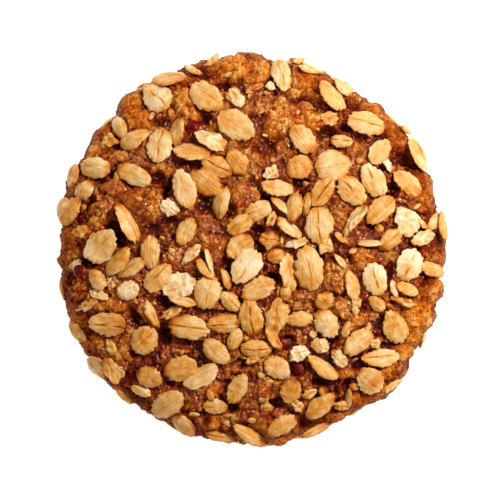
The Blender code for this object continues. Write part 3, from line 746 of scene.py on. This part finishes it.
# The bed that an oat presses into the crumb. Its heights at these shares of the oat's oval are first those
# under the oat, then those of a moat along its rim, and last one outside, where the crumb rises again.
BED_OVALS = (0, 0.7, 0.98, 1.12, 1.45)
BED_UNDER = (-0.0005, -0.0006)
BED_OUTSIDE = 0.0016
OUTER_MOAT_SHARE = 0.8
MOAT_DEPTH = (0.0006, 0.0012)
RIM_MOAT_DEPTH = 0.0004
MOAT_REACH = 0.84
PRESS_REACH = 1.6
PRESS_MARGIN = 0.001
LOWEST_PRESSED = -0.004
DEEPEST_PRESS = 0.0035
PRESS_HEIGHT = 0.0040
PRESS_FADE = (1.0, 1.6)


def press_oat(points, middle, long_way, cross_way, normal, moat):
    """Lowers the crumb round one oat: just under it, deeper along its rim, and less and less outside.

    What stands high over the face is left, sooner over an oat on its edge.
    """
    reach = PRESS_REACH * np.linalg.norm(long_way) + PRESS_MARGIN
    near = np.flatnonzero(np.linalg.norm(points - middle, axis=1) < reach)
    away = points[near] - middle
    basis = np.stack([long_way, cross_way, normal], axis=1)
    shares = away @ np.linalg.inv(basis).T
    oval = np.hypot(shares[:, 0], shares[:, 1])
    height = shares[:, 2]
    limit = np.interp(oval, BED_OVALS, [*BED_UNDER, -moat, -moat * OUTER_MOAT_SHARE, BED_OUTSIDE])
    pressed = (height > LOWEST_PRESSED) & (oval < BED_OVALS[-1])
    lower = np.where(pressed, np.minimum(height - limit, DEEPEST_PRESS), 0)
    lower = lower * (1 - ramp(height / (PRESS_HEIGHT * normal[2]), *PRESS_FADE))
    points[near] -= normal * np.maximum(lower, 0)[:, None]


top_laid = laid_oats(OATS_SEEN)
side_laid = side_oats()
moats = np.random.default_rng(SEED + 2).uniform(*MOAT_DEPTH, len(OATS_SEEN))
moats = np.where(edge_share(top_laid[0]) > MOAT_REACH, RIM_MOAT_DEPTH, moats)
side_moats = np.full(SIDE_OATS, RIM_MOAT_DEPTH)
for oat in [*zip(*top_laid, moats), *zip(*side_laid, side_moats)]:
    press_oat(crumb_points, *oat)


def linear(hex_colour):
    """An sRGB hex colour as linear red, green, blue and alpha."""
    parts = [int(hex_colour[place : place + 2], 16) / 255 for place in (1, 3, 5)]
    return (*(part / 12.92 if part <= 0.04045 else ((part + 0.055) / 1.055) ** 2.4 for part in parts), 1.0)


def fill(tree, node, inputs):
    """Links or sets a node's inputs, each by its name or number."""
    for name, value in inputs.items():
        if isinstance(value, bpy.types.NodeSocket):
            tree.links.new(value, node.inputs[name])
        else:
            node.inputs[name].default_value = value


def add_node(tree, kind, inputs=None, **settings):
    """Adds a shader node, sets its attributes, and fills its inputs."""
    node = tree.nodes.new(kind)
    for name, value in settings.items():
        setattr(node, name, value)
    fill(tree, node, inputs or {})
    return node


def set_ramp(node, stops):
    """Gives a Color Ramp its stops: a place from 0 to 1 and a hex colour each."""
    elements = node.color_ramp.elements
    while len(elements) < len(stops):
        elements.new(0.5)
    for element, (place, colour) in zip(elements, stops):
        element.position = place
        element.color = linear(colour)


def new_material(name):
    """A material with its node tree and its surface shader."""
    material = bpy.data.materials.new(name)
    material.use_nodes = True
    return material, material.node_tree, material.node_tree.nodes["Principled BSDF"]


def add_piece(name, points, faces, material, marks):
    """A mesh object that rides on the cookie's one body, with marks, a number or vector each, at its points.

    Every point is kept within the cookie's own box.
    """
    mesh = bpy.data.meshes.new(name)
    points = np.clip(points, LOW, HIGH)
    mesh.from_pydata(points, [], [face for group in faces for face in group.tolist()])
    for mark, values in marks.items():
        kind, field = ("FLOAT", "value") if values.ndim == 1 else ("FLOAT_VECTOR", "vector")
        layer = mesh.attributes.new(mark, kind, "POINT")
        layer.data.foreach_set(field, values.astype(np.float32).ravel())
    mesh.shade_smooth()
    mesh.materials.append(material)
    piece = bpy.data.objects.new(name, mesh)
    bpy.context.scene.collection.objects.link(piece)
    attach(piece, "root")
    return piece


# Baked crumb: browned dough, its top under a thin glaze of melted brown sugar. Its colour follows the height
# of its relief: golden where it stands proud, which is painted light, and red-brown lower down and nearly
# black in the cracks, partly the syrup pooled there and partly painted shade. The sugar gives small broken
# highlights.
# The side and the foot baked against hot air and the tray, without sugar: they are a dry, even brown.
PATCH_MM = 4.0
GRAIN_MM = 0.65
GRIT_MM = 0.45
PATCH_TONE = 1.2
GRAIN_TONE = 0.65
GRIT_TONE = 1.15
GLAZE_COVER = 0.8


def per_metre(size_mm):
    """The Scale of a pattern that repeats at this size."""
    return 1000.0 / size_mm


def scaled_from_half(tree, value, share):
    """A 0-to-1 value taken from its middle and multiplied, so that it spreads evenly either side of 0."""
    span = {"Value": value, "To Min": -share / 2, "To Max": share / 2}
    return add_node(tree, "ShaderNodeMapRange", span, clamp=False).outputs["Result"]


def added(tree, first, *others):
    """The sum of several values."""
    total = first
    for other in others:
        total = add_node(tree, "ShaderNodeMath", {0: total, 1: other}, operation="ADD").outputs[0]
    return total


crumb_material, tree, surface = new_material("browned oat dough")
# The rise mark carries the crumb's tone by height: painted light on its tops and painted shade in its cracks
tone_light_and_shade_mark, gold_mark, glaze_mark, crust_mark = (
    add_node(tree, "ShaderNodeAttribute", attribute_name=name).outputs["Fac"]
    for name in ("rise", "gold", "glaze", "crust")
)
place = add_node(tree, "ShaderNodeTexCoord").outputs["Object"]
patch_look = {"Vector": place, "Scale": per_metre(PATCH_MM), "Detail": 6.0}
patches = add_node(tree, "ShaderNodeTexNoise", patch_look)
grains = add_node(tree, "ShaderNodeTexVoronoi", {"Vector": place, "Scale": per_metre(GRAIN_MM)})
grit_look = {"Vector": place, "Scale": per_metre(GRIT_MM), "Detail": 5.0, "Roughness": 0.65}
grit = add_node(tree, "ShaderNodeTexNoise", grit_look)
tone = added(
    tree,
    tone_light_and_shade_mark,
    scaled_from_half(tree, patches.outputs["Fac"], PATCH_TONE),
    scaled_from_half(tree, grains.outputs["Color"], GRAIN_TONE),
    scaled_from_half(tree, grit.outputs["Fac"], GRIT_TONE),
)
browns, golds, crusts = (add_node(tree, "ShaderNodeValToRGB", {"Fac": tone}) for _ in range(3))
# The browns run from nearly black, partly painted shade for the cracks, to pale gold, painted light for the
# tops
set_ramp(
    browns, [(0.0, "#440300"), (0.2, "#741401"), (0.45, "#983603"), (0.7, "#b65e12"), (1.0, "#d8a062")]
)
set_ramp(golds, [(0.0, "#a03402"), (0.3, "#d46a08"), (0.6, "#ea962a"), (1.0, "#f6c87c")])
set_ramp(crusts, [(0.0, "#5e2206"), (0.35, "#8c4412"), (0.65, "#ad6628"), (1.0, "#ca9150")])
sugar_mix = {0: gold_mark, 6: browns.outputs[0], 7: golds.outputs[0]}
sugared = add_node(tree, "ShaderNodeMix", sugar_mix, data_type="RGBA")
crust_mix = {0: crust_mark, 6: sugared.outputs[2], 7: crusts.outputs[0]}
crumb_colour = add_node(tree, "ShaderNodeMix", crust_mix, data_type="RGBA")
grain_bumps = {"Height": grains.outputs["Distance"], "Strength": 0.65, "Distance": 0.0004}
grain_relief = add_node(tree, "ShaderNodeBump", grain_bumps, invert=True)
grit_bumps = {"Height": grit.outputs["Fac"], "Strength": 0.8, "Distance": 0.0006}
relief = add_node(tree, "ShaderNodeBump", {**grit_bumps, "Normal": grain_relief.outputs["Normal"]})
glaze = add_node(tree, "ShaderNodeMath", {0: glaze_mark, 1: GLAZE_COVER}, operation="MULTIPLY")
gloss_range = {"From Min": 0.4, "From Max": 0.65, "To Min": 0.6, "To Max": 0.4}
gloss = add_node(tree, "ShaderNodeMapRange", {"Value": patches.outputs["Fac"], **gloss_range})
crumb_look = {
    "Base Color": crumb_colour.outputs[2],
    "Normal": relief.outputs["Normal"],
    "Roughness": gloss.outputs["Result"],
    "IOR": 1.47,
    "Specular IOR Level": 0.1,
    "Coat Weight": glaze.outputs[0],
    "Coat Normal": grain_relief.outputs["Normal"],
    "Coat Roughness": 0.16,
    "Subsurface Weight": 0.4,
    "Subsurface Radius": (1.0, 0.25, 0.05),
    "Subsurface Scale": 0.0014,
}
fill(tree, surface, crumb_look)

CRUST_HEIGHTS = (0.0075, 0.0125)
GLAZE_EDGE = (0.78, 0.92)
STRAY_GOLD = 0.30
STRAY_GOLD_SIZE = 0.008
STRAY_GOLD_RANGE = (0.1, 0.7)
MEAN_TONE = 0.53
FULL_TONE_HEIGHT = 0.0036
GLAZED_LUMP_DROP = 0.28


def crumb_marks(points, rise, gold):
    """The marks that the crumb's material reads: glaze on the top alone, dry crust on the side and foot."""
    crust = 1 - ramp(points[:, 2], *CRUST_HEIGHTS)
    glaze = (1 - ramp(edge_share(points), *GLAZE_EDGE)) * (1 - crust)
    return {"rise": rise, "gold": np.clip(gold, 0, 1), "glaze": glaze, "crust": crust}


gold = seen_lump_share(crumb_points, GOLDEN)
gold = gold + STRAY_GOLD * ramp(soft_noise(crumb_points, STRAY_GOLD_SIZE, 101), *STRAY_GOLD_RANGE)
drop = GLAZED_LUMP_DROP * seen_lump_share(crumb_points, SMOOTH)
# The crumb's tone by the height of its relief: painted light on the tops, and painted shade with the syrup's
# darker colour in the hollows
rise = np.clip(MEAN_TONE + crumb_light_and_shade_height / FULL_TONE_HEIGHT - drop, 0, 1)
marks = crumb_marks(crumb_points, rise, gold)
crumb = add_piece("crumb", crumb_points, [crumb_quads, crumb_cap], crumb_material, marks)
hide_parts("cookie")

# Oats in their own colours: cream where dry, tan where the dough's fat soaked in, and gold to orange-brown
# at the tips and in patches round the rim. Darker down the creases and in the folds' dips and paler on their
# ridges: painted shade and light, with the creases' own browner line. Fine ribs run along each, and the
# surface is matt with a slight sheen. The ribs are drawn a little coarser than real ones, so that they show.
RIB_MM = 0.36
RIB_STRETCH = 0.16
MOTTLE_MM = 1.1
CRINKLE_MM = 0.6
RIB_TONE = 0.75
MOTTLE_TONE = 0.45
oat_material, tree, surface = new_material("toasted rolled oat")
# The toast mark holds painted shade down the creases and painted light and shade over the folds
toast_and_shade_mark = add_node(tree, "ShaderNodeAttribute", attribute_name="toast_and_shade").outputs["Fac"]
grain_mark = add_node(tree, "ShaderNodeAttribute", attribute_name="grain").outputs["Vector"]
rib_scale = (RIB_STRETCH / RIB_MM, 1 / RIB_MM, 1.0)
rib_way = add_node(tree, "ShaderNodeMapping", {"Vector": grain_mark, "Scale": rib_scale}).outputs[0]
ribs, mottle, crinkles = (
    add_node(tree, "ShaderNodeTexNoise", {"Vector": way, "Scale": scale, "Detail": detail}).outputs["Fac"]
    for way, scale, detail in (
        (rib_way, 1.0, 4.0), (grain_mark, 1 / MOTTLE_MM, 6.0), (grain_mark, 1 / CRINKLE_MM, 3.0)
    )
)
rib_tone = scaled_from_half(tree, ribs, RIB_TONE)
tone = added(tree, toast_and_shade_mark, rib_tone, scaled_from_half(tree, mottle, MOTTLE_TONE))
oat_browns = add_node(tree, "ShaderNodeValToRGB", {"Fac": tone})
oat_stops = [(0.0, "#f6e0bc"), (0.25, "#ecc488"), (0.45, "#e2ae62")]
set_ramp(oat_browns, [*oat_stops, (0.62, "#da9634"), (0.82, "#c87610"), (1.0, "#9c4604")])
rib_relief = add_node(tree, "ShaderNodeBump", {"Height": ribs, "Strength": 0.8, "Distance": 0.0003})
crinkle_bumps = {"Height": crinkles, "Strength": 0.6, "Distance": 0.0003}
relief = add_node(tree, "ShaderNodeBump", {**crinkle_bumps, "Normal": rib_relief.outputs["Normal"]})
oat_look = {
    "Base Color": oat_browns.outputs[0],
    "Normal": relief.outputs["Normal"],
    "Roughness": 0.5,
    "Subsurface Weight": 0.35,
    "Subsurface Radius": (1.0, 0.5, 0.2),
    "Subsurface Scale": 0.0004,
}
fill(tree, surface, oat_look)


def add_oats(name, laid, forms, toasts, seed, **sizes):
    """A piece made of these oats, in the oats' material."""
    points, faces, marks = oat_shells(laid, forms, toasts, seed, **sizes)
    add_piece(name, points, faces, oat_material, marks)


OAT_KINDS = {"smooth_oats": "s", "creased_oats": "c", "wrinkled_oats": "r", "standing_oats": "e"}
for number, (name, form) in enumerate(OAT_KINDS.items()):
    chosen = np.array([oat[6] == form for oat in OATS_SEEN])
    toasts = [oat[5] for oat in OATS_SEEN if oat[6] == form]
    add_oats(name, [part[chosen] for part in top_laid], [form] * len(toasts), toasts, 200 + 10 * number)

SIDE_OAT_TOASTS = (3, 7.5)
side_toasts = np.random.default_rng(SEED + 3).uniform(*SIDE_OAT_TOASTS, SIDE_OATS)
side_forms = ["c" if number % 3 == 0 else "s" for number in range(SIDE_OATS)]
add_oats("side_oats", side_laid, side_forms, side_toasts, 300)

# Bits of oat broken in the mixing bowl: the larger ones where they lie, then a seeded scatter of flakes.
# Column, row, length and width in pixels, turn in degrees, and how toasted from 0 to 9.
OAT_BITS_SEEN = (
    (171, 208, 20, 15, -40, 0), (236, 101, 21, 14, -55, 1), (111, 142, 16, 13, 0, 5),
    (146, 88, 22, 7, 20, 5), (194, 73, 22, 5, -27, 3), (213, 64, 20, 5, 45, 4), (82, 232, 18, 13, 10, 5),
    (298, 63, 12, 6, 10, 3), (312, 72, 26, 6, -12, 4), (343, 89, 20, 12, -40, 1), (329, 120, 18, 14, 0, 4),
    (270, 88, 10, 9, 20, 1), (295, 96, 10, 8, 60, 7), (405, 131, 13, 5, -40, 4), (270, 174, 16, 13, 30, 1),
    (271, 220, 15, 9, 65, 4), (268, 240, 20, 17, 0, 7), (325, 245, 18, 13, 80, 5), (296, 244, 21, 9, 15, 0),
    (386, 166, 16, 7, -55, 0), (421, 225, 12, 5, -50, 2), (340, 239, 19, 6, -38, 7),
    (78, 264, 14, 8, 30, 1), (113, 284, 13, 8, 100, 3), (101, 294, 20, 9, -20, 1), (92, 303, 20, 10, 30, 5),
    (82, 307, 9, 5, 35, 4), (113, 346, 18, 9, -75, 4), (174, 312, 24, 9, 25, 5), (152, 314, 32, 9, -62, 6),
    (122, 371, 14, 7, -80, 4), (252, 358, 14, 8, 10, 5), (312, 333, 8, 7, 0, 1), (355, 302, 12, 9, 60, 4),
    (353, 309, 10, 6, -60, 3), (373, 342, 12, 10, 0, 4), (401, 302, 26, 8, -18, 7),
    (296, 403, 15, 10, -40, 5), (309, 391, 17, 10, 30, 5), (341, 404, 16, 10, 0, 7),
    (392, 385, 20, 7, 32, 5),
)
BIT_TOOTH_DEPTH = 0.16
BIT_SIDES = 40
bits_laid = laid_oats(OAT_BITS_SEEN)
bit_toasts = [bit[5] for bit in OAT_BITS_SEEN]
bit_forms = ["r"] * len(OAT_BITS_SEEN)
add_oats("oat_bits", bits_laid, bit_forms, bit_toasts, 320, tooth_depth=BIT_TOOTH_DEPTH, sides=BIT_SIDES)

SPOTS_TRIED = 12
STREWN_REACH = 0.90
FLAKES = 80
FLAKE_TOASTS = (2, 9)
FLAKE_TOOTH_DEPTH = 0.2
FLAKE_LENGTH = (0.0012, 0.0030)
FLAKE_SLIMNESS = (0.35, 0.85)
FLAKE_TILT = 0.5
FLAKE_LIFT = 0.0001
FLAKE_CLEARANCE = 1.2
FLAKE_SIDES = 14
FLAKE_RINGS = 3


def bare_spots(count, seed, most_reach, clearance):
    """Seeded places on the crumb's top, out to a share of the edge's radius, and their normals.

    Each is outside the oval of every seen oat and bit, made larger by the clearance.
    """
    rng = np.random.default_rng(seed)
    upper = np.flatnonzero((edge_share(crumb_points) < most_reach) & (crumb_points[:, 2] > WIDEST_HEIGHT))
    picked = rng.choice(upper, min(SPOTS_TRIED * count, len(upper)), replace=False)
    spots = crumb_points[picked]
    clear = np.ones(len(spots), bool)
    for middle, long_way, cross_way, _ in [*zip(*top_laid), *zip(*bits_laid)]:
        away = spots[:, :2] - middle[:2]
        shares = away @ np.linalg.inv(np.stack([long_way[:2], cross_way[:2]], axis=1)).T
        clear &= np.hypot(shares[:, 0], shares[:, 1]) > clearance
    spots = spots[clear][:count]
    return spots, slope_normal(plain_lean(spots[:, 0], spots[:, 1]))


def strewn_oats(count, length, slimness, tilt, lift, clearance, seed):
    """The four arrays of oats or flakes tilted at random on the bare spots."""
    rng = np.random.default_rng(seed)
    middle, normal = bare_spots(count, seed + 50, STREWN_REACH, clearance)
    count = len(middle)
    normal = unit(normal + rng.normal(0, tilt, (count, 3)) * (1, 1, 0))
    turn = rng.uniform(0, math.pi, count)
    level = unit(np.cross(normal, np.stack([np.sin(turn), -np.cos(turn), np.zeros(count)], axis=-1)))
    half_length = rng.uniform(*length, count)[:, None] / 2
    long_way = level * half_length
    cross_way = np.cross(normal, level) * half_length * rng.uniform(*slimness, count)[:, None]
    return middle + normal * lift, long_way, cross_way, normal


flake_sizes = (FLAKE_LENGTH, FLAKE_SLIMNESS, FLAKE_TILT, FLAKE_LIFT, FLAKE_CLEARANCE)
flakes_laid = strewn_oats(FLAKES, *flake_sizes, SEED + 5)
flake_forms = ["s"] * len(flakes_laid[0])
flake_toasts = np.random.default_rng(SEED + 6).uniform(*FLAKE_TOASTS, len(flake_forms))
flake_look = {"tooth_depth": FLAKE_TOOTH_DEPTH, "sides": FLAKE_SIDES, "top_rings": FLAKE_RINGS}
add_oats("oat_flakes", flakes_laid, flake_forms, flake_toasts, 330, **flake_look)

# Oats coated in dough: the ones that were stirred under, with wet dough clinging to them.
# They make lumps of the crumb, in its own colours, and a part of each face stands clear.
COATED_OATS = 44
COATED_MOST_GOLD = 0.75
COATED_LENGTH = (0.0035, 0.0062)
COATED_SLIMNESS = (0.45, 0.75)
COATED_TILT = 0.3
COATED_SINK = 0.0006
COATED_CLEARANCE = 1.8
COATED_TOASTS = (3.0, 7.0)
COATED_SIDES = 44
COATED_RINGS = 9
COATED_GOLD = 0.65
COATED_PATCH = 0.004
coated_sizes = (COATED_LENGTH, COATED_SLIMNESS, COATED_TILT, -COATED_SINK, COATED_CLEARANCE)
coated_laid = strewn_oats(COATED_OATS, *coated_sizes, SEED + 11)
not_golden = seen_lump_share(coated_laid[0], GOLDEN) < COATED_MOST_GOLD
coated_laid = [part[not_golden] for part in coated_laid]
coated_forms = ["r" if number % 2 else "c" for number in range(len(coated_laid[0]))]
coated_toasts = np.random.default_rng(SEED + 12).uniform(*COATED_TOASTS, len(coated_forms))
coated_look = {"sides": COATED_SIDES, "top_rings": COATED_RINGS}
points, faces, marks = oat_shells(coated_laid, coated_forms, coated_toasts, 340, **coated_look)
coated_gold = COATED_GOLD + (1 - COATED_GOLD) * soft_noise(points, COATED_PATCH, 351)
add_piece("coated_oats", points, faces, crumb_material, crumb_marks(points, marks["toast_and_shade"], coated_gold))

# Grains of dough and brown sugar: what stuck out when the dough was dropped, and baked crisp first.
# They are small hard crumbs, scattered all over the bare crumb and stuck in it.
DOUGH_GRAINS = 1500
DOUGH_GRAIN_REACH = 0.97
DOUGH_GRAIN_CLEARANCE = 1.05
DOUGH_GRAIN_RADIUS = (0.00014, 0.00040)
DOUGH_GRAIN_STRETCH = (0.7, 1.3)
DOUGH_GRAIN_SINK = 0.0001
DOUGH_GRAIN_SIDES = 6
DOUGH_GRAIN_RINGS = 5
DOUGH_GRAIN_UNEVENNESS = 0.25
DOUGH_GRAIN_TONES = (0.2, 0.85)
DOUGH_GRAIN_GOLDS = (0.0, 0.5)


def round_shells(middles, half_sizes, rings, sides, unevenness, seed):
    """Rings of points of closed lumps: balls stretched along x, y and z, each point's reach varied."""
    rng = np.random.default_rng(seed)
    down = np.linspace(0, math.pi, rings)[None, :, None]
    start = rng.uniform(0, 6.3, len(middles))[:, None, None]
    turn = (2 * math.pi * np.arange(sides) / sides)[None, None, :] + start
    reach = 1 + unevenness * rng.uniform(-1, 1, (len(middles), rings, sides))
    reach[:, [0, -1]] = 1
    level = np.sin(down)
    ball = np.stack([level * np.cos(turn), level * np.sin(turn), np.cos(down) + 0 * turn], axis=-1)
    return middles[:, None, None, :] + ball * reach[..., None] * half_sizes[:, None, None, :]


spots, _ = bare_spots(DOUGH_GRAINS, SEED + 7, DOUGH_GRAIN_REACH, DOUGH_GRAIN_CLEARANCE)
rng = np.random.default_rng(SEED + 8)
radii = rng.uniform(*DOUGH_GRAIN_RADIUS, (len(spots), 1))
half_sizes = radii * rng.uniform(*DOUGH_GRAIN_STRETCH, (len(spots), 3))
spots = spots - (0, 0, DOUGH_GRAIN_SINK)
grain_look = (DOUGH_GRAIN_RINGS, DOUGH_GRAIN_SIDES, DOUGH_GRAIN_UNEVENNESS)
rings = round_shells(spots, half_sizes, *grain_look, SEED + 9)
points, faces = ring_mesh(rings)
rise, gold = (
    ring_order(np.broadcast_to(rng.uniform(*span, (len(spots), 1, 1, 1)), rings[..., :1].shape))[:, 0]
    for span in (DOUGH_GRAIN_TONES, DOUGH_GRAIN_GOLDS)
)
add_piece("dough_grains", points, faces, crumb_material, crumb_marks(points, rise, gold))

# Dried fruit: chopped dark berries, dried until leathery, then swollen a little and half sunk in the dough.
# Column, row and width in pixels.
FRUIT_SEEN = (
    (193, 129, 16), (82, 270, 15), (168, 184, 9), (162, 347, 10), (284, 342, 16), (299, 368, 15),
    (358, 363, 11), (377, 332, 8),
)
FRUIT_SLIMNESS = 0.92
FRUIT_FLATNESS = 0.5
FRUIT_SINK = 0.25
FRUIT_LOWEST = 0.0010
FRUIT_RINGS = 21
FRUIT_SIDES = 36
FRUIT_UNEVENNESS = 0.02
WRINKLE_MM = 1.4
WRINKLE_HEIGHT = 0.00030
fruit = np.array(FRUIT_SEEN, float)
fruit_x, fruit_y = place_of(fruit[:, 0], fruit[:, 1])
fruit_half = fruit[:, 2] * PIXEL / 2
on_top = crumb_points[crumb_points[:, 2] > WIDEST_HEIGHT]
nearest = [np.argmin(np.hypot(on_top[:, 0] - x, on_top[:, 1] - y)) for x, y in zip(fruit_x, fruit_y)]
fruit_ground = np.maximum(on_top[nearest, 2], plain_height(fruit_x, fruit_y) - FRUIT_LOWEST)
middles = np.stack([fruit_x, fruit_y, fruit_ground - FRUIT_SINK * fruit_half], axis=-1)
half_sizes = fruit_half[:, None] * np.array([1.0, FRUIT_SLIMNESS, FRUIT_FLATNESS])
rings = round_shells(middles, half_sizes, FRUIT_RINGS, FRUIT_SIDES, FRUIT_UNEVENNESS, SEED + 10)
points, faces = ring_mesh(rings)
sway = [soft_noise(points, WRINKLE_MM / 1000, seed) for seed in (401, 402, 403)]
points = points + WRINKLE_HEIGHT * np.stack(sway, axis=-1)

# The skin of a dried dark berry: wrinkled and leathery, nearly black, red where the light gets through it
fruit_material, tree, surface = new_material("dried dark berry skin")
place = add_node(tree, "ShaderNodeTexCoord").outputs["Object"]
skin_look = {"Vector": place, "Scale": per_metre(WRINKLE_MM), "Detail": 4.0}
skin = add_node(tree, "ShaderNodeTexNoise", skin_look).outputs["Fac"]
skin_colour = add_node(tree, "ShaderNodeValToRGB", {"Fac": skin})
set_ramp(skin_colour, [(0.3, "#2c0306"), (0.5, "#640a08"), (0.7, "#9a200e")])
wrinkles = add_node(tree, "ShaderNodeBump", {"Height": skin, "Strength": 0.5, "Distance": 0.0006})
fruit_look = {
    "Base Color": skin_colour.outputs[0],
    "Normal": wrinkles.outputs["Normal"],
    "Roughness": 0.3,
    "Specular IOR Level": 0.2,
}
fill(tree, surface, fruit_look)
add_piece("dried_fruit", points, faces, fruit_material, {})

# The stage: a plain white table that glows a little, so that it stays white under the warm surround, and one
# soft lamp above the upper right of the picture.
FLOOR_SIDE = 3.0
LAMP_PLACE = (0.23, 0.18, 0.38)
LAMP_SIDE = 0.09
LAMP_POWER = 2.4
half = FLOOR_SIDE / 2
floor_mesh = bpy.data.meshes.new("table")
corners = [(-half, -half, 0), (half, -half, 0), (half, half, 0), (-half, half, 0)]
floor_mesh.from_pydata(corners, [], [(0, 1, 2, 3)])
floor = bpy.data.objects.new("table", floor_mesh)
floor_material, tree, surface = new_material("matt white table")
floor_look = {
    "Base Color": linear("#fbfbfa"),
    "Roughness": 0.9,
    "Emission Color": linear("#ffffff"),
    "Emission Strength": 0.9,
}
fill(tree, surface, floor_look)
floor_mesh.materials.append(floor_material)
bpy.context.scene.collection.objects.link(floor)

lamp = bpy.data.objects.new("key", bpy.data.lights.new("key", "AREA"))
lamp.data.size = LAMP_SIDE
lamp.data.energy = LAMP_POWER
lamp.data.color = linear("#fffaf2")[:3]
lamp.location = LAMP_PLACE
lamp.rotation_euler = (-Vector(LAMP_PLACE)).to_track_quat("-Z", "Y").to_euler()
bpy.context.scene.collection.objects.link(lamp)

world = bpy.data.worlds.new("pale surround")
bpy.context.scene.world = world
world.use_nodes = True
surround = world.node_tree.nodes["Background"]
fill(world.node_tree, surround, {"Color": linear("#ffe2bc"), "Strength": 0.30})
bpy.context.scene.view_settings.view_transform = "Standard"
